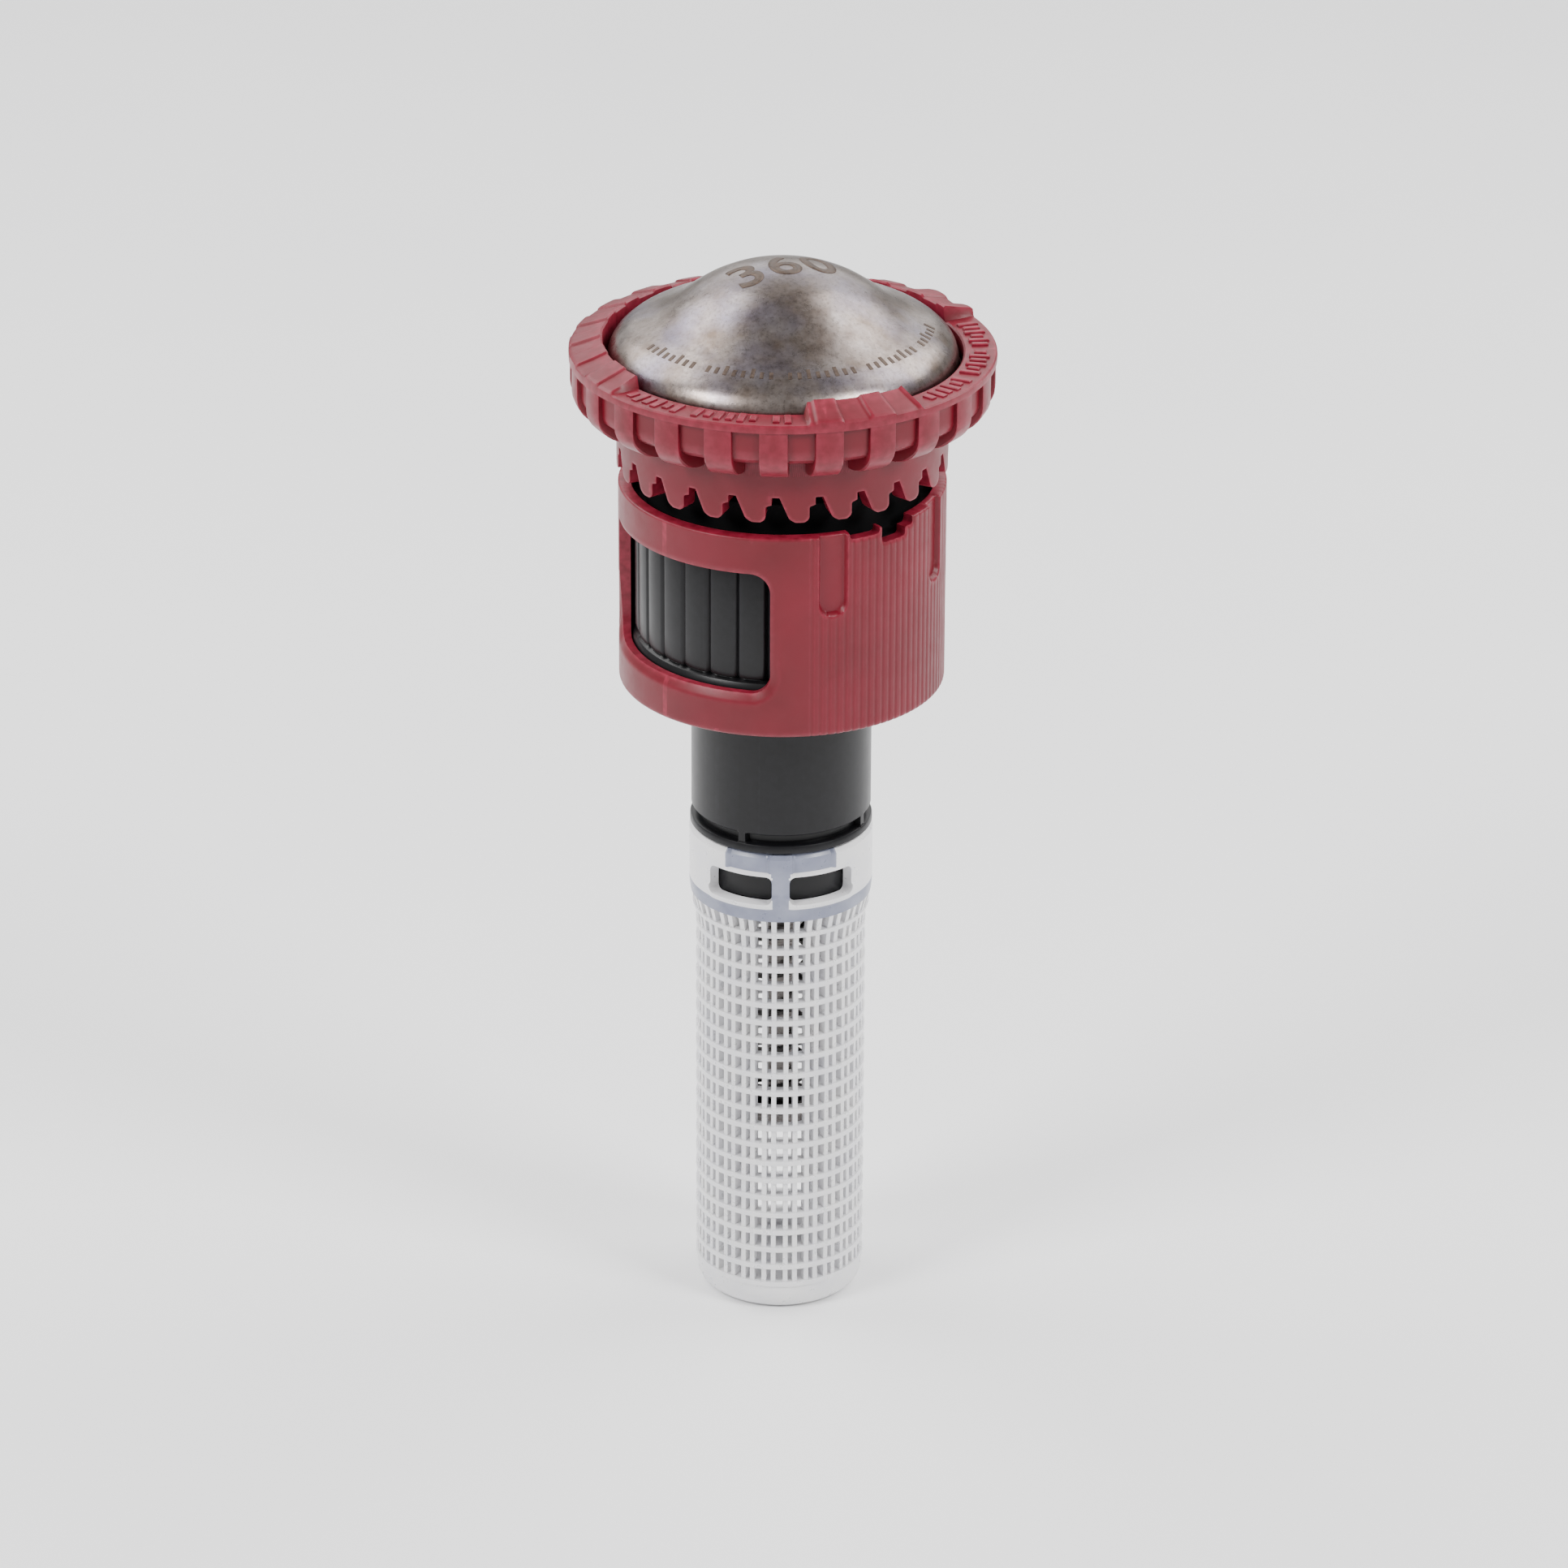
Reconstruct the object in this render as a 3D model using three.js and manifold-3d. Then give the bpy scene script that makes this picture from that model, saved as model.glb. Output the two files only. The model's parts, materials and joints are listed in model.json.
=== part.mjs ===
// Full-circle rotary nozzle for a pop-up spray body, as a jointed assembly of separate pieces.
// Millimetres, +Z up. The origin is the centre of the filter basket's bottom, on the thread axis.
// Azimuths are in degrees from the front (-Y), positive towards +X.

import * as THREE from "three";
import { mergeVertices } from "three/addons/utils/BufferGeometryUtils.js";
import Module from "manifold-3d";

const wasm = await Module();
wasm.setup();

// ---- Driving dimensions, mm ----

// Heights, stacked from the filter's bottom upwards.
const filterLength = 38.2;
const neckLength = 11.7;
const sleeveHeight = 15.5;
const toothGap = 1.3;
const headHeight = 8.7;
const capRise = 6.4;

// Clearances.
const runGap = 0.1;
const stackGap = 0.1;
const coverGap = 0.15;

// Inlet tube. Its radius is the size that every other radius is built out from.
const neckRadius = 6.65;
const neckWall = 1.75;
const neckFlange = 0.1;
const neckFlangeHeight = 0.75;
const neckSlotHeight = 0.7;
const neckSlotDepth = 0.6;
const neckSlotTurn = 85;
const neckSlotStart = -23;
const neckSlots = 4;
const spigotStep = 0.75;
const spigotLength = 4.3;

// Filter basket.
const filterWall = 0.75;
const filterFloor = 0.9;
const filterFootRound = 1.0;
const filterCollarWall = 0.8;
const filterCollarHeight = 4.7;
const filterTaperHeight = 2.9;
const filterTaper = 0.6;
const filterColumns = 12;
const filterRows = 5;
const filterBar = 1.1;
const filterRib = 1.0;
const collarWindowHeight = 2.3;
const collarWindowTurn = 40;
const collarBarTurn = 12;

// Nozzle base, with the female thread for the riser.
const seatWidth = 1.55;
const baseWall = 1.2;
const baseLift = 0.4;
const baseDisc = 1.3;
const portStep = 0.3;
const postRadius = 2.6;
const postDrop = 1.8;
const postRise = 3.4;
const spiderArm = 1.3;
const spiderArms = 3;
const spiderRoot = 0.5;
const gasketHeight = 0.9;

// Outer sleeve.
const sleeveWall = 0.9;
const sleeveFloor = 1.2;
const sleeveBand = 2.8;
const windowTurn = 86;
const windowStart = -90;
const windowSill = 3.3;
const slotDepth = 0.45;
const slotHeight = 6.1;
const slotTurn = 12;
const slotStarts = [12, 62];
const notchStart = 24;
const notchTurn = 27;
const notchDepth = 0.8;
const deepNotchStart = 37;
const deepNotchTurn = 11;
const deepNotchDepth = 1.3;

// Adjusting collar.
const collarWall = 1.2;
const collarPlay = 0.3;
const collarSkirtWall = 1.0;
const collarRibs = 30;
const collarGroove = 0.35;
const collarGrooveTurn = 2.6;
const collarGrooveLift = 0.3;
const collarLedge = 2.6;
const collarLedgeChamfer = 0.2;
const collarWeb = 0.9;
const splineTubeWall = 1.1;
const splineTubeLift = 0.4;

// Throttle nut.
const throttleRoom = 4.3;
const splineInset = 1.0;
const splineHeight = 0.6;
const splineCount = 8;
const splineTurn = 14;
const splinePlay = 2;
const keyRoot = 0.4;
const nutHeight = 2.0;
const nutLift = 0.8;
const nutWeb = 0.9;
const nutRim = 0.9;
const nutHub = 1.1;
const nutPorts = 6;
const nutPortTurn = 36;
const nutPortMargin = 0.3;

// Nozzle plate, inside the sleeve's rim.
const plateLift = 0.3;
const plateDisc = 1.2;
const funnelInset = 0.7;
const towerGap = 0.8;
const towerEdge = 0.5;
const streamGap = 0.5;
const orificeRadius = 1.8;
const orificeLength = 1.5;

// Deflector.
const skirtProud = 0.1;
const skirtWall = 1.35;
const ringOverhang = 3.4;
const ringWidth = 2.45;
const ringLip = 0.6;
const raisedRing = 0.9;
const raisedSpans = [[7, 33], [116, 203]];
const toothCount = 24;
const toothHeight = 1.9;
const toothNotchWide = 1.5;
const toothNotchNarrow = 0.5;
const toothPhase = -2.4;
const finWidth = 2.0;
const finDrop = 2.4;
const finCurve = 2.8;
const finInset = 0.08;
const finRoot = 0.4;
const finEdge = 0.8;
const fluteInset = 0.5;
const flareSteps = 4;
const deflectorFloor = 1.4;
const hubRadius = 3.4;
const hubDrop = 1.3;
const chamberWall = 1.55;
const lidLedge = 0.9;
const lidRecess = 1.1;
const wallDrop = 0.4;

// Cap. A crown point is [out, down from the apex], a shoulder point [in from the rim, up from the ring].
const capWall = 0.5;
const capInset = 1.6;
const capSide = 0.3;
const capGrooveWidth = 0.95;
const capCrown = [[2.8, 0.25], [5.3, 1.4]];
const capShoulder = [[5.1, 3.2], [3.55, 2.7], [1.5, 2.05], [0.4, 0.8], [0, -0.3]];
const capSteps = 10;

// Brake and shaft.
const shaftRadius = 1.2;
const shaftFoot = 13.0;
const shaftTail = 2.9;
const shaftChamfer = 0.3;
const bushWall = 0.65;
const sealRadius = 4.0;
const sealHeight = 0.9;
const washerRadius = 3.2;
const washerHeight = 0.3;
const discRadius = 6.5;
const discHeight = 0.8;
const padGap = 1.2;
const padBore = 4.2;
const padHeight = 0.5;
const lidHeight = 0.7;
const clipHeight = 0.5;
const clipRadius = 2.4;
const clipGroove = 0.25;
const lockNutHeight = 0.8;
const lockNutRadius = 2.1;
const retainerHeight = 0.9;
const retainerFloor = 0.3;
const retainerRadius = 2.5;

// Spring and seals.
const springWire = 0.5;
const springRadius = 2.1;
const springTurns = 15;
const springSteps = 10;
const springSides = 3;
const oRingSection = 0.35;
const oRingSides = 6;

// Facets round each full circle, and degrees between the points of a part of one.
const coarse = 24;
const fine = 48;
const fineStep = 7.5;
const coarseStep = 12;

// How far a cutter runs past the face that it cuts through.
const pastFace = 1.0;

// ---- Levels and radii worked out from the sizes above ----

const neckFoot = filterLength;
const sleeveFoot = neckFoot + neckLength;
const sleeveRim = sleeveFoot + sleeveHeight;
const skirtFoot = sleeveRim + toothGap;
const ringTop = skirtFoot + headHeight;
const capApex = ringTop + capRise;

const windowTop = sleeveRim - sleeveBand;
const plateFoot = windowTop + plateLift;
const collarFoot = sleeveFoot + sleeveFloor + stackGap;
const collarTop = plateFoot - 2 * stackGap;

const baseFoot = sleeveFoot + baseLift;
const baseTop = plateFoot - throttleRoom;
const discUnder = baseTop - baseDisc;
const postFoot = discUnder - postDrop;
const postTop = baseTop + postRise;
const collarWebFoot = baseTop + oRingSection * 2 + stackGap;

const chamberHeight = sealHeight + washerHeight + discHeight + padHeight + 5 * stackGap;
const wallTop = ringTop - wallDrop;
const chamberTop = wallTop - lidRecess;
const floorTop = chamberTop - chamberHeight;
const floorFoot = floorTop - deflectorFloor;
const hubFoot = floorFoot - hubDrop;
const towerTop = hubFoot - streamGap;
const grooveFloor = ringTop - capInset;
const capFoot = grooveFloor + stackGap;

const washerFoot = floorTop + sealHeight + 2 * stackGap;
const discFoot = washerFoot + washerHeight + stackGap;
const padFoot = discFoot + discHeight + stackGap;
const lidFoot = chamberTop + stackGap;
const clipFoot = lidFoot + lidHeight + stackGap;
const shaftTop = clipFoot + clipHeight + shaftTail;
const retainerFoot = shaftFoot + lockNutHeight + stackGap;

const neckBore = neckRadius - neckWall;
const spigotRadius = neckRadius - spigotStep;
const filterSocket = spigotRadius + runGap;
const filterCollarRadius = filterSocket + filterCollarWall;
const filterRadius = filterCollarRadius - filterTaper;

const threadRadius = neckRadius + seatWidth;
const inletPortRadius = neckBore - portStep;
const splineRadius = threadRadius - splineInset;
const splineTubeRadius = splineRadius + splineTubeWall;
const baseRadius = threadRadius + baseWall;
const coverBore = baseRadius + coverGap;
const collarRadius = coverBore + collarWall;
const sleeveBore = collarRadius + collarPlay;
const sleeveRadius = sleeveBore + sleeveWall;

const skirtRadius = sleeveRadius + skirtProud;
const skirtBore = skirtRadius - skirtWall;
const towerRadius = skirtBore - towerGap;
const ringRadius = skirtRadius + ringOverhang;
const grooveOuter = ringRadius - ringWidth;
const grooveInner = grooveOuter - capGrooveWidth;
const capRadius = grooveOuter - capSide;
const lidSeatRadius = grooveInner - chamberWall;
const chamberRadius = lidSeatRadius - lidLedge;
const padRadius = chamberRadius - padGap;
const flareTop = ringTop - finDrop;

// ---- Solids from three.js geometry ----

// A closed three.js geometry becomes a solid: shared vertices merged, slivers on the axis dropped.
function toSolid(geometry) {
  const plain = geometry.index ? geometry.toNonIndexed() : geometry.clone();
  plain.deleteAttribute("normal");
  plain.deleteAttribute("uv");
  const merged = mergeVertices(plain, 1e-4);
  const triVerts = [];
  for (let i = 0; i < merged.index.count; i += 3) {
    const [a, b, c] = [0, 1, 2].map((k) => merged.index.getX(i + k));
    if (a !== b && b !== c && c !== a) triVerts.push(a, b, c);
  }
  return new wasm.Manifold(
    new wasm.Mesh({
      numProp: 3,
      vertProperties: new Float32Array(merged.attributes.position.array),
      triVerts: new Uint32Array(triVerts),
    }),
  );
}

// A profile of [radius, height] points, anticlockwise as seen with the axis on the left, turned about Z.
// It closes on itself, or starts and ends on the axis.
function revolve(profile, facets = fine) {
  const points = profile.map(([r, z]) => new THREE.Vector2(r, z));
  if (profile[0][0] > 0) points.push(points[0].clone());
  return toSolid(new THREE.LatheGeometry(points, facets).rotateX(Math.PI / 2));
}

function tube(outer, inner, low, high, facets = fine) {
  return revolve([[inner, low], [outer, low], [outer, high], [inner, high]], facets);
}

// A block that follows the circle, between two radii and two heights, from one azimuth through a turn.
function sector(inner, outer, low, high, start, turn, step = fineStep) {
  const from = THREE.MathUtils.degToRad(start - 90);
  const to = THREE.MathUtils.degToRad(start + turn - 90);
  const shape = new THREE.Shape();
  shape.absarc(0, 0, outer, from, to, false);
  shape.absarc(0, 0, inner, to, from, true);
  const settings = {
    depth: high - low,
    bevelEnabled: false,
    curveSegments: Math.max(1, Math.round(turn / step)),
  };
  return toSolid(new THREE.ExtrudeGeometry(shape, settings).translate(0, 0, low));
}

// An outline of [radius, height] points as a plate that stands on the axis plane at an azimuth.
function radialPlate(outline, width, azimuth) {
  const shape = new THREE.Shape(outline.map(([r, z]) => new THREE.Vector2(r, z)));
  const settings = { depth: width, bevelEnabled: false };
  const plate = new THREE.ExtrudeGeometry(shape, settings)
    .translate(0, 0, -width / 2)
    .rotateX(Math.PI / 2)
    .rotateZ(THREE.MathUtils.degToRad(azimuth - 90));
  return toSolid(plate);
}

// An outline of [across, height] points pushed outwards from one radius to another at an azimuth.
function radialPrism(outline, inner, outer, azimuth) {
  const shape = new THREE.Shape(outline.map(([u, z]) => new THREE.Vector2(u, z)));
  const settings = { depth: outer - inner, bevelEnabled: false };
  const prism = new THREE.ExtrudeGeometry(shape, settings)
    .translate(0, 0, -outer)
    .rotateX(Math.PI / 2)
    .rotateZ(THREE.MathUtils.degToRad(azimuth));
  return toSolid(prism);
}

function around(count, make) {
  return Array.from({ length: count }, (unused, i) => make((i * 360) / count, i));
}

function join(solids) {
  return solids.reduce((whole, piece) => whole.add(piece));
}

function cut(solid, cutters) {
  return cutters.reduce((whole, piece) => whole.subtract(piece), solid);
}

// ---- Materials ----

function material(color, roughness, metalness) {
  return new THREE.MeshStandardMaterial({ color, roughness, metalness });
}

const redPlastic = material(0x93404e, 0.45, 0);
const blackPlastic = material(0x2b2b2e, 0.4, 0);
const clearPlastic = material(0xf0ecee, 0.35, 0);
const greyPlastic = material(0xb9b7b2, 0.5, 0);
const stainless = material(0xa09a96, 0.3, 1);
const springSteel = material(0x8d8c8b, 0.35, 1);
const blackRubber = material(0x1d1d1e, 0.8, 0);

function pieceMesh(name, solid, look) {
  const mesh = solid.getMesh();
  const geometry = new THREE.BufferGeometry();
  geometry.setAttribute("position", new THREE.BufferAttribute(mesh.vertProperties, 3));
  geometry.setIndex(new THREE.BufferAttribute(mesh.triVerts, 1));
  geometry.computeVertexNormals();
  const piece = new THREE.Mesh(geometry, look.clone());
  piece.name = name;
  return piece;
}

// ---- Filter ----

function filterBasket() {
  const collarFootLevel = filterLength - filterCollarHeight;
  const taperFoot = collarFootLevel - filterTaperHeight;
  const bore = filterRadius - filterWall;
  const socketFoot = filterLength - spigotLength - 2 * stackGap;
  const top = filterLength - stackGap;
  const foot = filterFootRound;
  const cornerCut = foot * (1 - Math.SQRT1_2);
  const body = revolve([
    [0, 0],
    [filterRadius - foot, 0],
    [filterRadius - cornerCut, cornerCut],
    [filterRadius, foot],
    [filterRadius, taperFoot],
    [filterCollarRadius, collarFootLevel],
    [filterCollarRadius, top],
    [filterSocket, top],
    [filterSocket, socketFoot],
    [bore, socketFoot - (filterSocket - bore)],
    [bore, filterFloor],
    [0, filterFloor],
  ], coarse);
  const meshFoot = foot + 2 * filterBar;
  const rowPitch = (taperFoot - meshFoot) / filterRows;
  const turn = 360 / filterColumns - THREE.MathUtils.radToDeg(filterRib / filterRadius);
  const holes = [];
  for (let row = 0; row < filterRows; row += 1) {
    const low = meshFoot + row * rowPitch;
    const make = (azimuth) =>
      sector(bore - pastFace, filterRadius + pastFace, low, low + rowPitch - filterBar,
        azimuth - turn / 2, turn, coarseStep);
    holes.push(...around(filterColumns, make));
  }
  const windowLow = filterLength - filterCollarHeight + filterBar;
  const windows = [0, 180].flatMap((side) =>
    [collarBarTurn / 2, -collarBarTurn / 2 - collarWindowTurn].map((start) =>
      sector(filterSocket - pastFace, filterCollarRadius + pastFace, windowLow,
        windowLow + collarWindowHeight, side + start, collarWindowTurn, coarseStep)));
  return cut(body, [...holes, ...windows]);
}

// ---- Nozzle body ----

function inletTube() {
  const spigotFoot = neckFoot - spigotLength;
  const slotFoot = neckFoot + neckFlangeHeight;
  const top = discUnder - stackGap;
  const body = revolve([
    [neckBore, spigotFoot],
    [spigotRadius, spigotFoot],
    [spigotRadius, neckFoot],
    [neckRadius + neckFlange, neckFoot],
    [neckRadius + neckFlange, slotFoot],
    [neckRadius, slotFoot],
    [neckRadius, top],
    [neckBore, top],
  ], fine);
  const slots = around(neckSlots, (azimuth) =>
    sector(neckRadius - neckSlotDepth, neckRadius + pastFace, slotFoot, slotFoot + neckSlotHeight,
      neckSlotStart + azimuth, neckSlotTurn, coarseStep));
  return cut(body, slots);
}

function nozzleBase() {
  const shell = revolve([
    [threadRadius, baseFoot],
    [baseRadius, baseFoot],
    [baseRadius, baseTop],
    [inletPortRadius, baseTop],
    [inletPortRadius, discUnder],
    [threadRadius, discUnder],
  ], coarse);
  const post = tube(postRadius, shaftRadius + runGap, postFoot, postTop, coarse);
  const armInner = (shaftRadius + runGap + postRadius) / 2;
  const armOuter = inletPortRadius + spiderRoot;
  const arms = around(spiderArms, (azimuth) => radialPlate([
    [armInner, discUnder],
    [armOuter, discUnder],
    [armOuter, baseTop],
    [armInner, baseTop],
  ], spiderArm, azimuth));
  return join([shell, post, ...arms]);
}

function seatGasket() {
  return tube(threadRadius - stackGap, neckRadius + stackGap, discUnder - gasketHeight - stackGap,
    discUnder - stackGap, coarse);
}

function outerSleeve() {
  const body = revolve([
    [coverBore, sleeveFoot],
    [sleeveRadius, sleeveFoot],
    [sleeveRadius, sleeveRim],
    [sleeveBore, sleeveRim],
    [sleeveBore, sleeveFoot + sleeveFloor],
    [coverBore, sleeveFoot + sleeveFloor],
  ], fine);
  const outside = sleeveRadius + pastFace;
  const inside = sleeveBore - pastFace;
  const over = sleeveRim + pastFace;
  const sides = [0, 180];
  const windows = sides.map((side) =>
    sector(inside, outside, sleeveFoot + windowSill, windowTop, windowStart + side, windowTurn));
  const slots = sides.flatMap((side) => slotStarts.map((start) =>
    sector(sleeveRadius - slotDepth, outside, sleeveRim - slotHeight, over, side + start, slotTurn)));
  const notches = sides.flatMap((side) => [
    sector(inside, outside, sleeveRim - notchDepth, over, side + notchStart, notchTurn),
    sector(inside, outside, sleeveRim - deepNotchDepth, over, side + deepNotchStart, deepNotchTurn),
  ]);
  return cut(body, [...windows, ...slots, ...notches]);
}

function nozzlePlate() {
  const outer = sleeveBore - runGap;
  const deck = plateFoot + plateDisc;
  return revolve([
    [splineRadius - funnelInset, plateFoot],
    [outer, plateFoot],
    [outer, deck],
    [towerRadius, deck],
    [towerRadius, towerTop - towerEdge],
    [towerRadius - towerEdge, towerTop],
    [orificeRadius, towerTop],
    [orificeRadius, towerTop - orificeLength],
  ], coarse);
}

// ---- Radius adjustment ----

function adjustingCollar() {
  const ledgeTop = collarFoot + collarLedge;
  const ledgeRadius = sleeveBore - runGap;
  const webTop = collarWebFoot + collarWeb;
  const tubeTop = plateFoot - oRingSection * 2 - 2 * stackGap;
  const tubeFoot = baseTop + splineTubeLift;
  const body = revolve([
    [coverBore, collarFoot],
    [ledgeRadius, collarFoot],
    [ledgeRadius, ledgeTop],
    [collarRadius, ledgeTop + collarLedgeChamfer],
    [collarRadius, collarTop],
    [collarRadius - collarSkirtWall, collarTop],
    [collarRadius - collarSkirtWall, webTop],
    [splineTubeRadius, webTop],
    [splineTubeRadius, tubeTop],
    [splineRadius, tubeTop],
    [splineRadius, tubeFoot],
    [splineTubeRadius, tubeFoot],
    [splineTubeRadius, collarWebFoot],
    [coverBore, collarWebFoot],
  ], fine);
  const grooves = around(collarRibs, (azimuth) =>
    sector(collarRadius - collarGroove, collarRadius + pastFace, ledgeTop + collarGrooveLift,
      collarTop + pastFace, azimuth - collarGrooveTurn / 2, collarGrooveTurn));
  const splines = around(splineCount, (azimuth) =>
    sector(splineRadius - pastFace, splineRadius + splineHeight + runGap, baseTop, plateFoot,
      azimuth - splineTurn / 2, splineTurn));
  return cut(body, [...grooves, ...splines]);
}

function throttleNut() {
  const foot = baseTop + nutLift;
  const top = foot + nutHeight;
  const rimOuter = splineRadius - runGap;
  const rimInner = rimOuter - nutRim;
  const hub = postRadius + nutHub;
  const bore = postRadius + runGap;
  const webFoot = foot + (nutHeight - nutWeb) / 2;
  const body = revolve([
    [bore, foot],
    [hub, foot],
    [hub, webFoot],
    [rimInner, webFoot],
    [rimInner, foot],
    [rimOuter, foot],
    [rimOuter, top],
    [rimInner, top],
    [rimInner, webFoot + nutWeb],
    [hub, webFoot + nutWeb],
    [hub, top],
    [bore, top],
  ], coarse);
  const ports = around(nutPorts, (azimuth) =>
    sector(hub + nutPortMargin, rimInner - nutPortMargin, foot - pastFace, top + pastFace,
      azimuth - nutPortTurn / 2, nutPortTurn, coarseStep));
  const keyTurn = splineTurn - splinePlay;
  const keys = around(splineCount, (azimuth) =>
    sector(rimOuter - keyRoot, splineRadius + splineHeight - runGap, foot, top,
      azimuth - keyTurn / 2, keyTurn));
  return join([cut(body, ports), ...keys]);
}

// ---- Head ----

// The ring's outside, from the skirt out and up: a quarter of an ellipse, so far in from the ring's edge.
function flarePoints(inset) {
  return Array.from({ length: flareSteps + 1 }, (unused, i) => {
    const angle = (i / flareSteps) * (Math.PI / 2);
    const r = skirtRadius + (ringOverhang - inset) * Math.sin(angle);
    return [r, flareTop - (finCurve - inset) * Math.cos(angle)];
  });
}

function deflector() {
  const hubBore = shaftRadius + bushWall + 2 * runGap;
  const body = revolve([
    [hubBore, hubFoot],
    [hubRadius, hubFoot],
    [hubRadius, floorFoot],
    [skirtBore, floorFoot],
    [skirtBore, skirtFoot],
    [skirtRadius, skirtFoot],
    ...flarePoints(fluteInset),
    [ringRadius, ringTop - ringLip],
    [ringRadius, ringTop],
    [grooveOuter, ringTop],
    [grooveOuter, grooveFloor],
    [grooveInner, grooveFloor],
    [grooveInner, wallTop],
    [lidSeatRadius, wallTop],
    [lidSeatRadius, chamberTop],
    [chamberRadius, chamberTop],
    [chamberRadius, floorTop],
    [hubBore, floorTop],
  ], fine);
  const lipFoot = ringTop - ringLip;
  const finOutside = flarePoints(finInset);
  const fins = around(toothCount, (azimuth) => radialPlate([
    [skirtRadius - finRoot, finOutside[0][1]],
    ...finOutside,
    [ringRadius - finInset, lipFoot + finRoot],
    [grooveOuter + finRoot, lipFoot + finRoot],
    [grooveOuter + finRoot, lipFoot - finEdge],
  ], finWidth, azimuth + toothPhase));
  const raised = raisedSpans.map(([start, turn]) =>
    sector(grooveOuter, ringRadius, ringTop - finRoot, ringTop + raisedRing, start, turn));
  const wide = toothNotchWide / 2;
  const narrow = toothNotchNarrow / 2;
  const notches = around(toothCount, (azimuth) => radialPrism([
    [-wide, skirtFoot - pastFace],
    [wide, skirtFoot - pastFace],
    [wide, skirtFoot],
    [narrow, skirtFoot + toothHeight],
    [-narrow, skirtFoot + toothHeight],
    [-wide, skirtFoot],
  ], skirtBore - pastFace, skirtRadius + pastFace, azimuth + toothPhase));
  return cut(join([body, ...fins, ...raised]), notches);
}

// The cap from its apex to its foot, as a smooth curve through the crown's and the shoulder's points.
function capCurve(inset) {
  const curve = new THREE.SplineCurve([
    new THREE.Vector2(0, capApex),
    ...capCrown.map(([out, down]) => new THREE.Vector2(out, capApex - down)),
    ...capShoulder.map(([back, up]) => new THREE.Vector2(capRadius - back, ringTop + up)),
  ]);
  const scale = (capRadius - inset) / capRadius;
  return curve.getPoints(capSteps).map((p) => [p.x * scale, p.y - inset]);
}

function cap() {
  const outer = capCurve(0);
  const inner = capCurve(capWall);
  outer[0][0] = 0;
  inner[0][0] = 0;
  return revolve([
    ...inner,
    [capRadius - capWall, capFoot],
    [capRadius, capFoot],
    ...outer.reverse(),
  ], fine);
}

function lowerBush() {
  return tube(shaftRadius + runGap + bushWall, shaftRadius + runGap, hubFoot, floorTop, coarse);
}

function shaftSeal() {
  const foot = floorTop + stackGap;
  return tube(sealRadius, shaftRadius + runGap, foot, foot + sealHeight, coarse);
}

function thrustWasher() {
  return tube(washerRadius, shaftRadius + runGap, washerFoot, washerFoot + washerHeight, coarse);
}

// The disc is keyed on the shaft, so it stands still while the deflector spins.
function frictionDisc() {
  return tube(discRadius, shaftRadius + coverGap, discFoot, discFoot + discHeight, coarse);
}

function brakePad() {
  return tube(padRadius, padBore, padFoot, padFoot + padHeight, coarse);
}

function brakeCover() {
  return tube(lidSeatRadius - runGap, shaftRadius + runGap, lidFoot, lidFoot + lidHeight, coarse);
}

// An e-clip: an open ring that sits in the shaft's groove.
function shaftClip() {
  const bore = shaftRadius - clipGroove + runGap;
  const ring = tube(clipRadius, bore, clipFoot, clipFoot + clipHeight, coarse);
  const mouth = radialPrism([
    [-bore, clipFoot - pastFace],
    [bore, clipFoot - pastFace],
    [bore, clipFoot + clipHeight + pastFace],
    [-bore, clipFoot + clipHeight + pastFace],
  ], 0, clipRadius + pastFace, 0);
  return cut(ring, [mouth]);
}

// ---- Shaft and spring ----

function shaft() {
  const groove = shaftRadius - clipGroove;
  return revolve([
    [0, shaftFoot],
    [shaftRadius, shaftFoot],
    [shaftRadius, clipFoot - runGap],
    [groove, clipFoot - runGap],
    [groove, clipFoot + clipHeight + runGap],
    [shaftRadius, clipFoot + clipHeight + runGap],
    [shaftRadius, shaftTop - shaftChamfer],
    [shaftRadius - shaftChamfer, shaftTop],
    [0, shaftTop],
  ], coarse);
}

function lockNut() {
  const hexagon = around(6, (azimuth) => {
    const angle = THREE.MathUtils.degToRad(azimuth);
    return new THREE.Vector2(lockNutRadius * Math.cos(angle), lockNutRadius * Math.sin(angle));
  });
  const shape = new THREE.Shape(hexagon);
  const bore = new THREE.Path();
  bore.absarc(0, 0, shaftRadius + runGap, 0, 2 * Math.PI, false);
  shape.holes.push(bore);
  const settings = { depth: lockNutHeight, bevelEnabled: false, curveSegments: coarse };
  return toSolid(new THREE.ExtrudeGeometry(shape, settings).translate(0, 0, shaftFoot));
}

// A cup washer that centres the spring's foot.
function springRetainer() {
  return revolve([
    [shaftRadius + runGap, retainerFoot],
    [retainerRadius + springWire / 2, retainerFoot],
    [retainerRadius + springWire / 2, retainerFoot + retainerHeight],
    [retainerRadius, retainerFoot + retainerHeight],
    [retainerRadius, retainerFoot + retainerFloor],
    [shaftRadius + runGap, retainerFoot + retainerFloor],
  ], coarse);
}

class Helix extends THREE.Curve {
  constructor(radius, low, high, turns) {
    super();
    Object.assign(this, { radius, low, high, turns });
  }

  getPoint(t, target = new THREE.Vector3()) {
    const angle = 2 * Math.PI * this.turns * t;
    const height = this.low + (this.high - this.low) * t;
    return target.set(this.radius * Math.cos(angle), this.radius * Math.sin(angle), height);
  }
}

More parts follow.
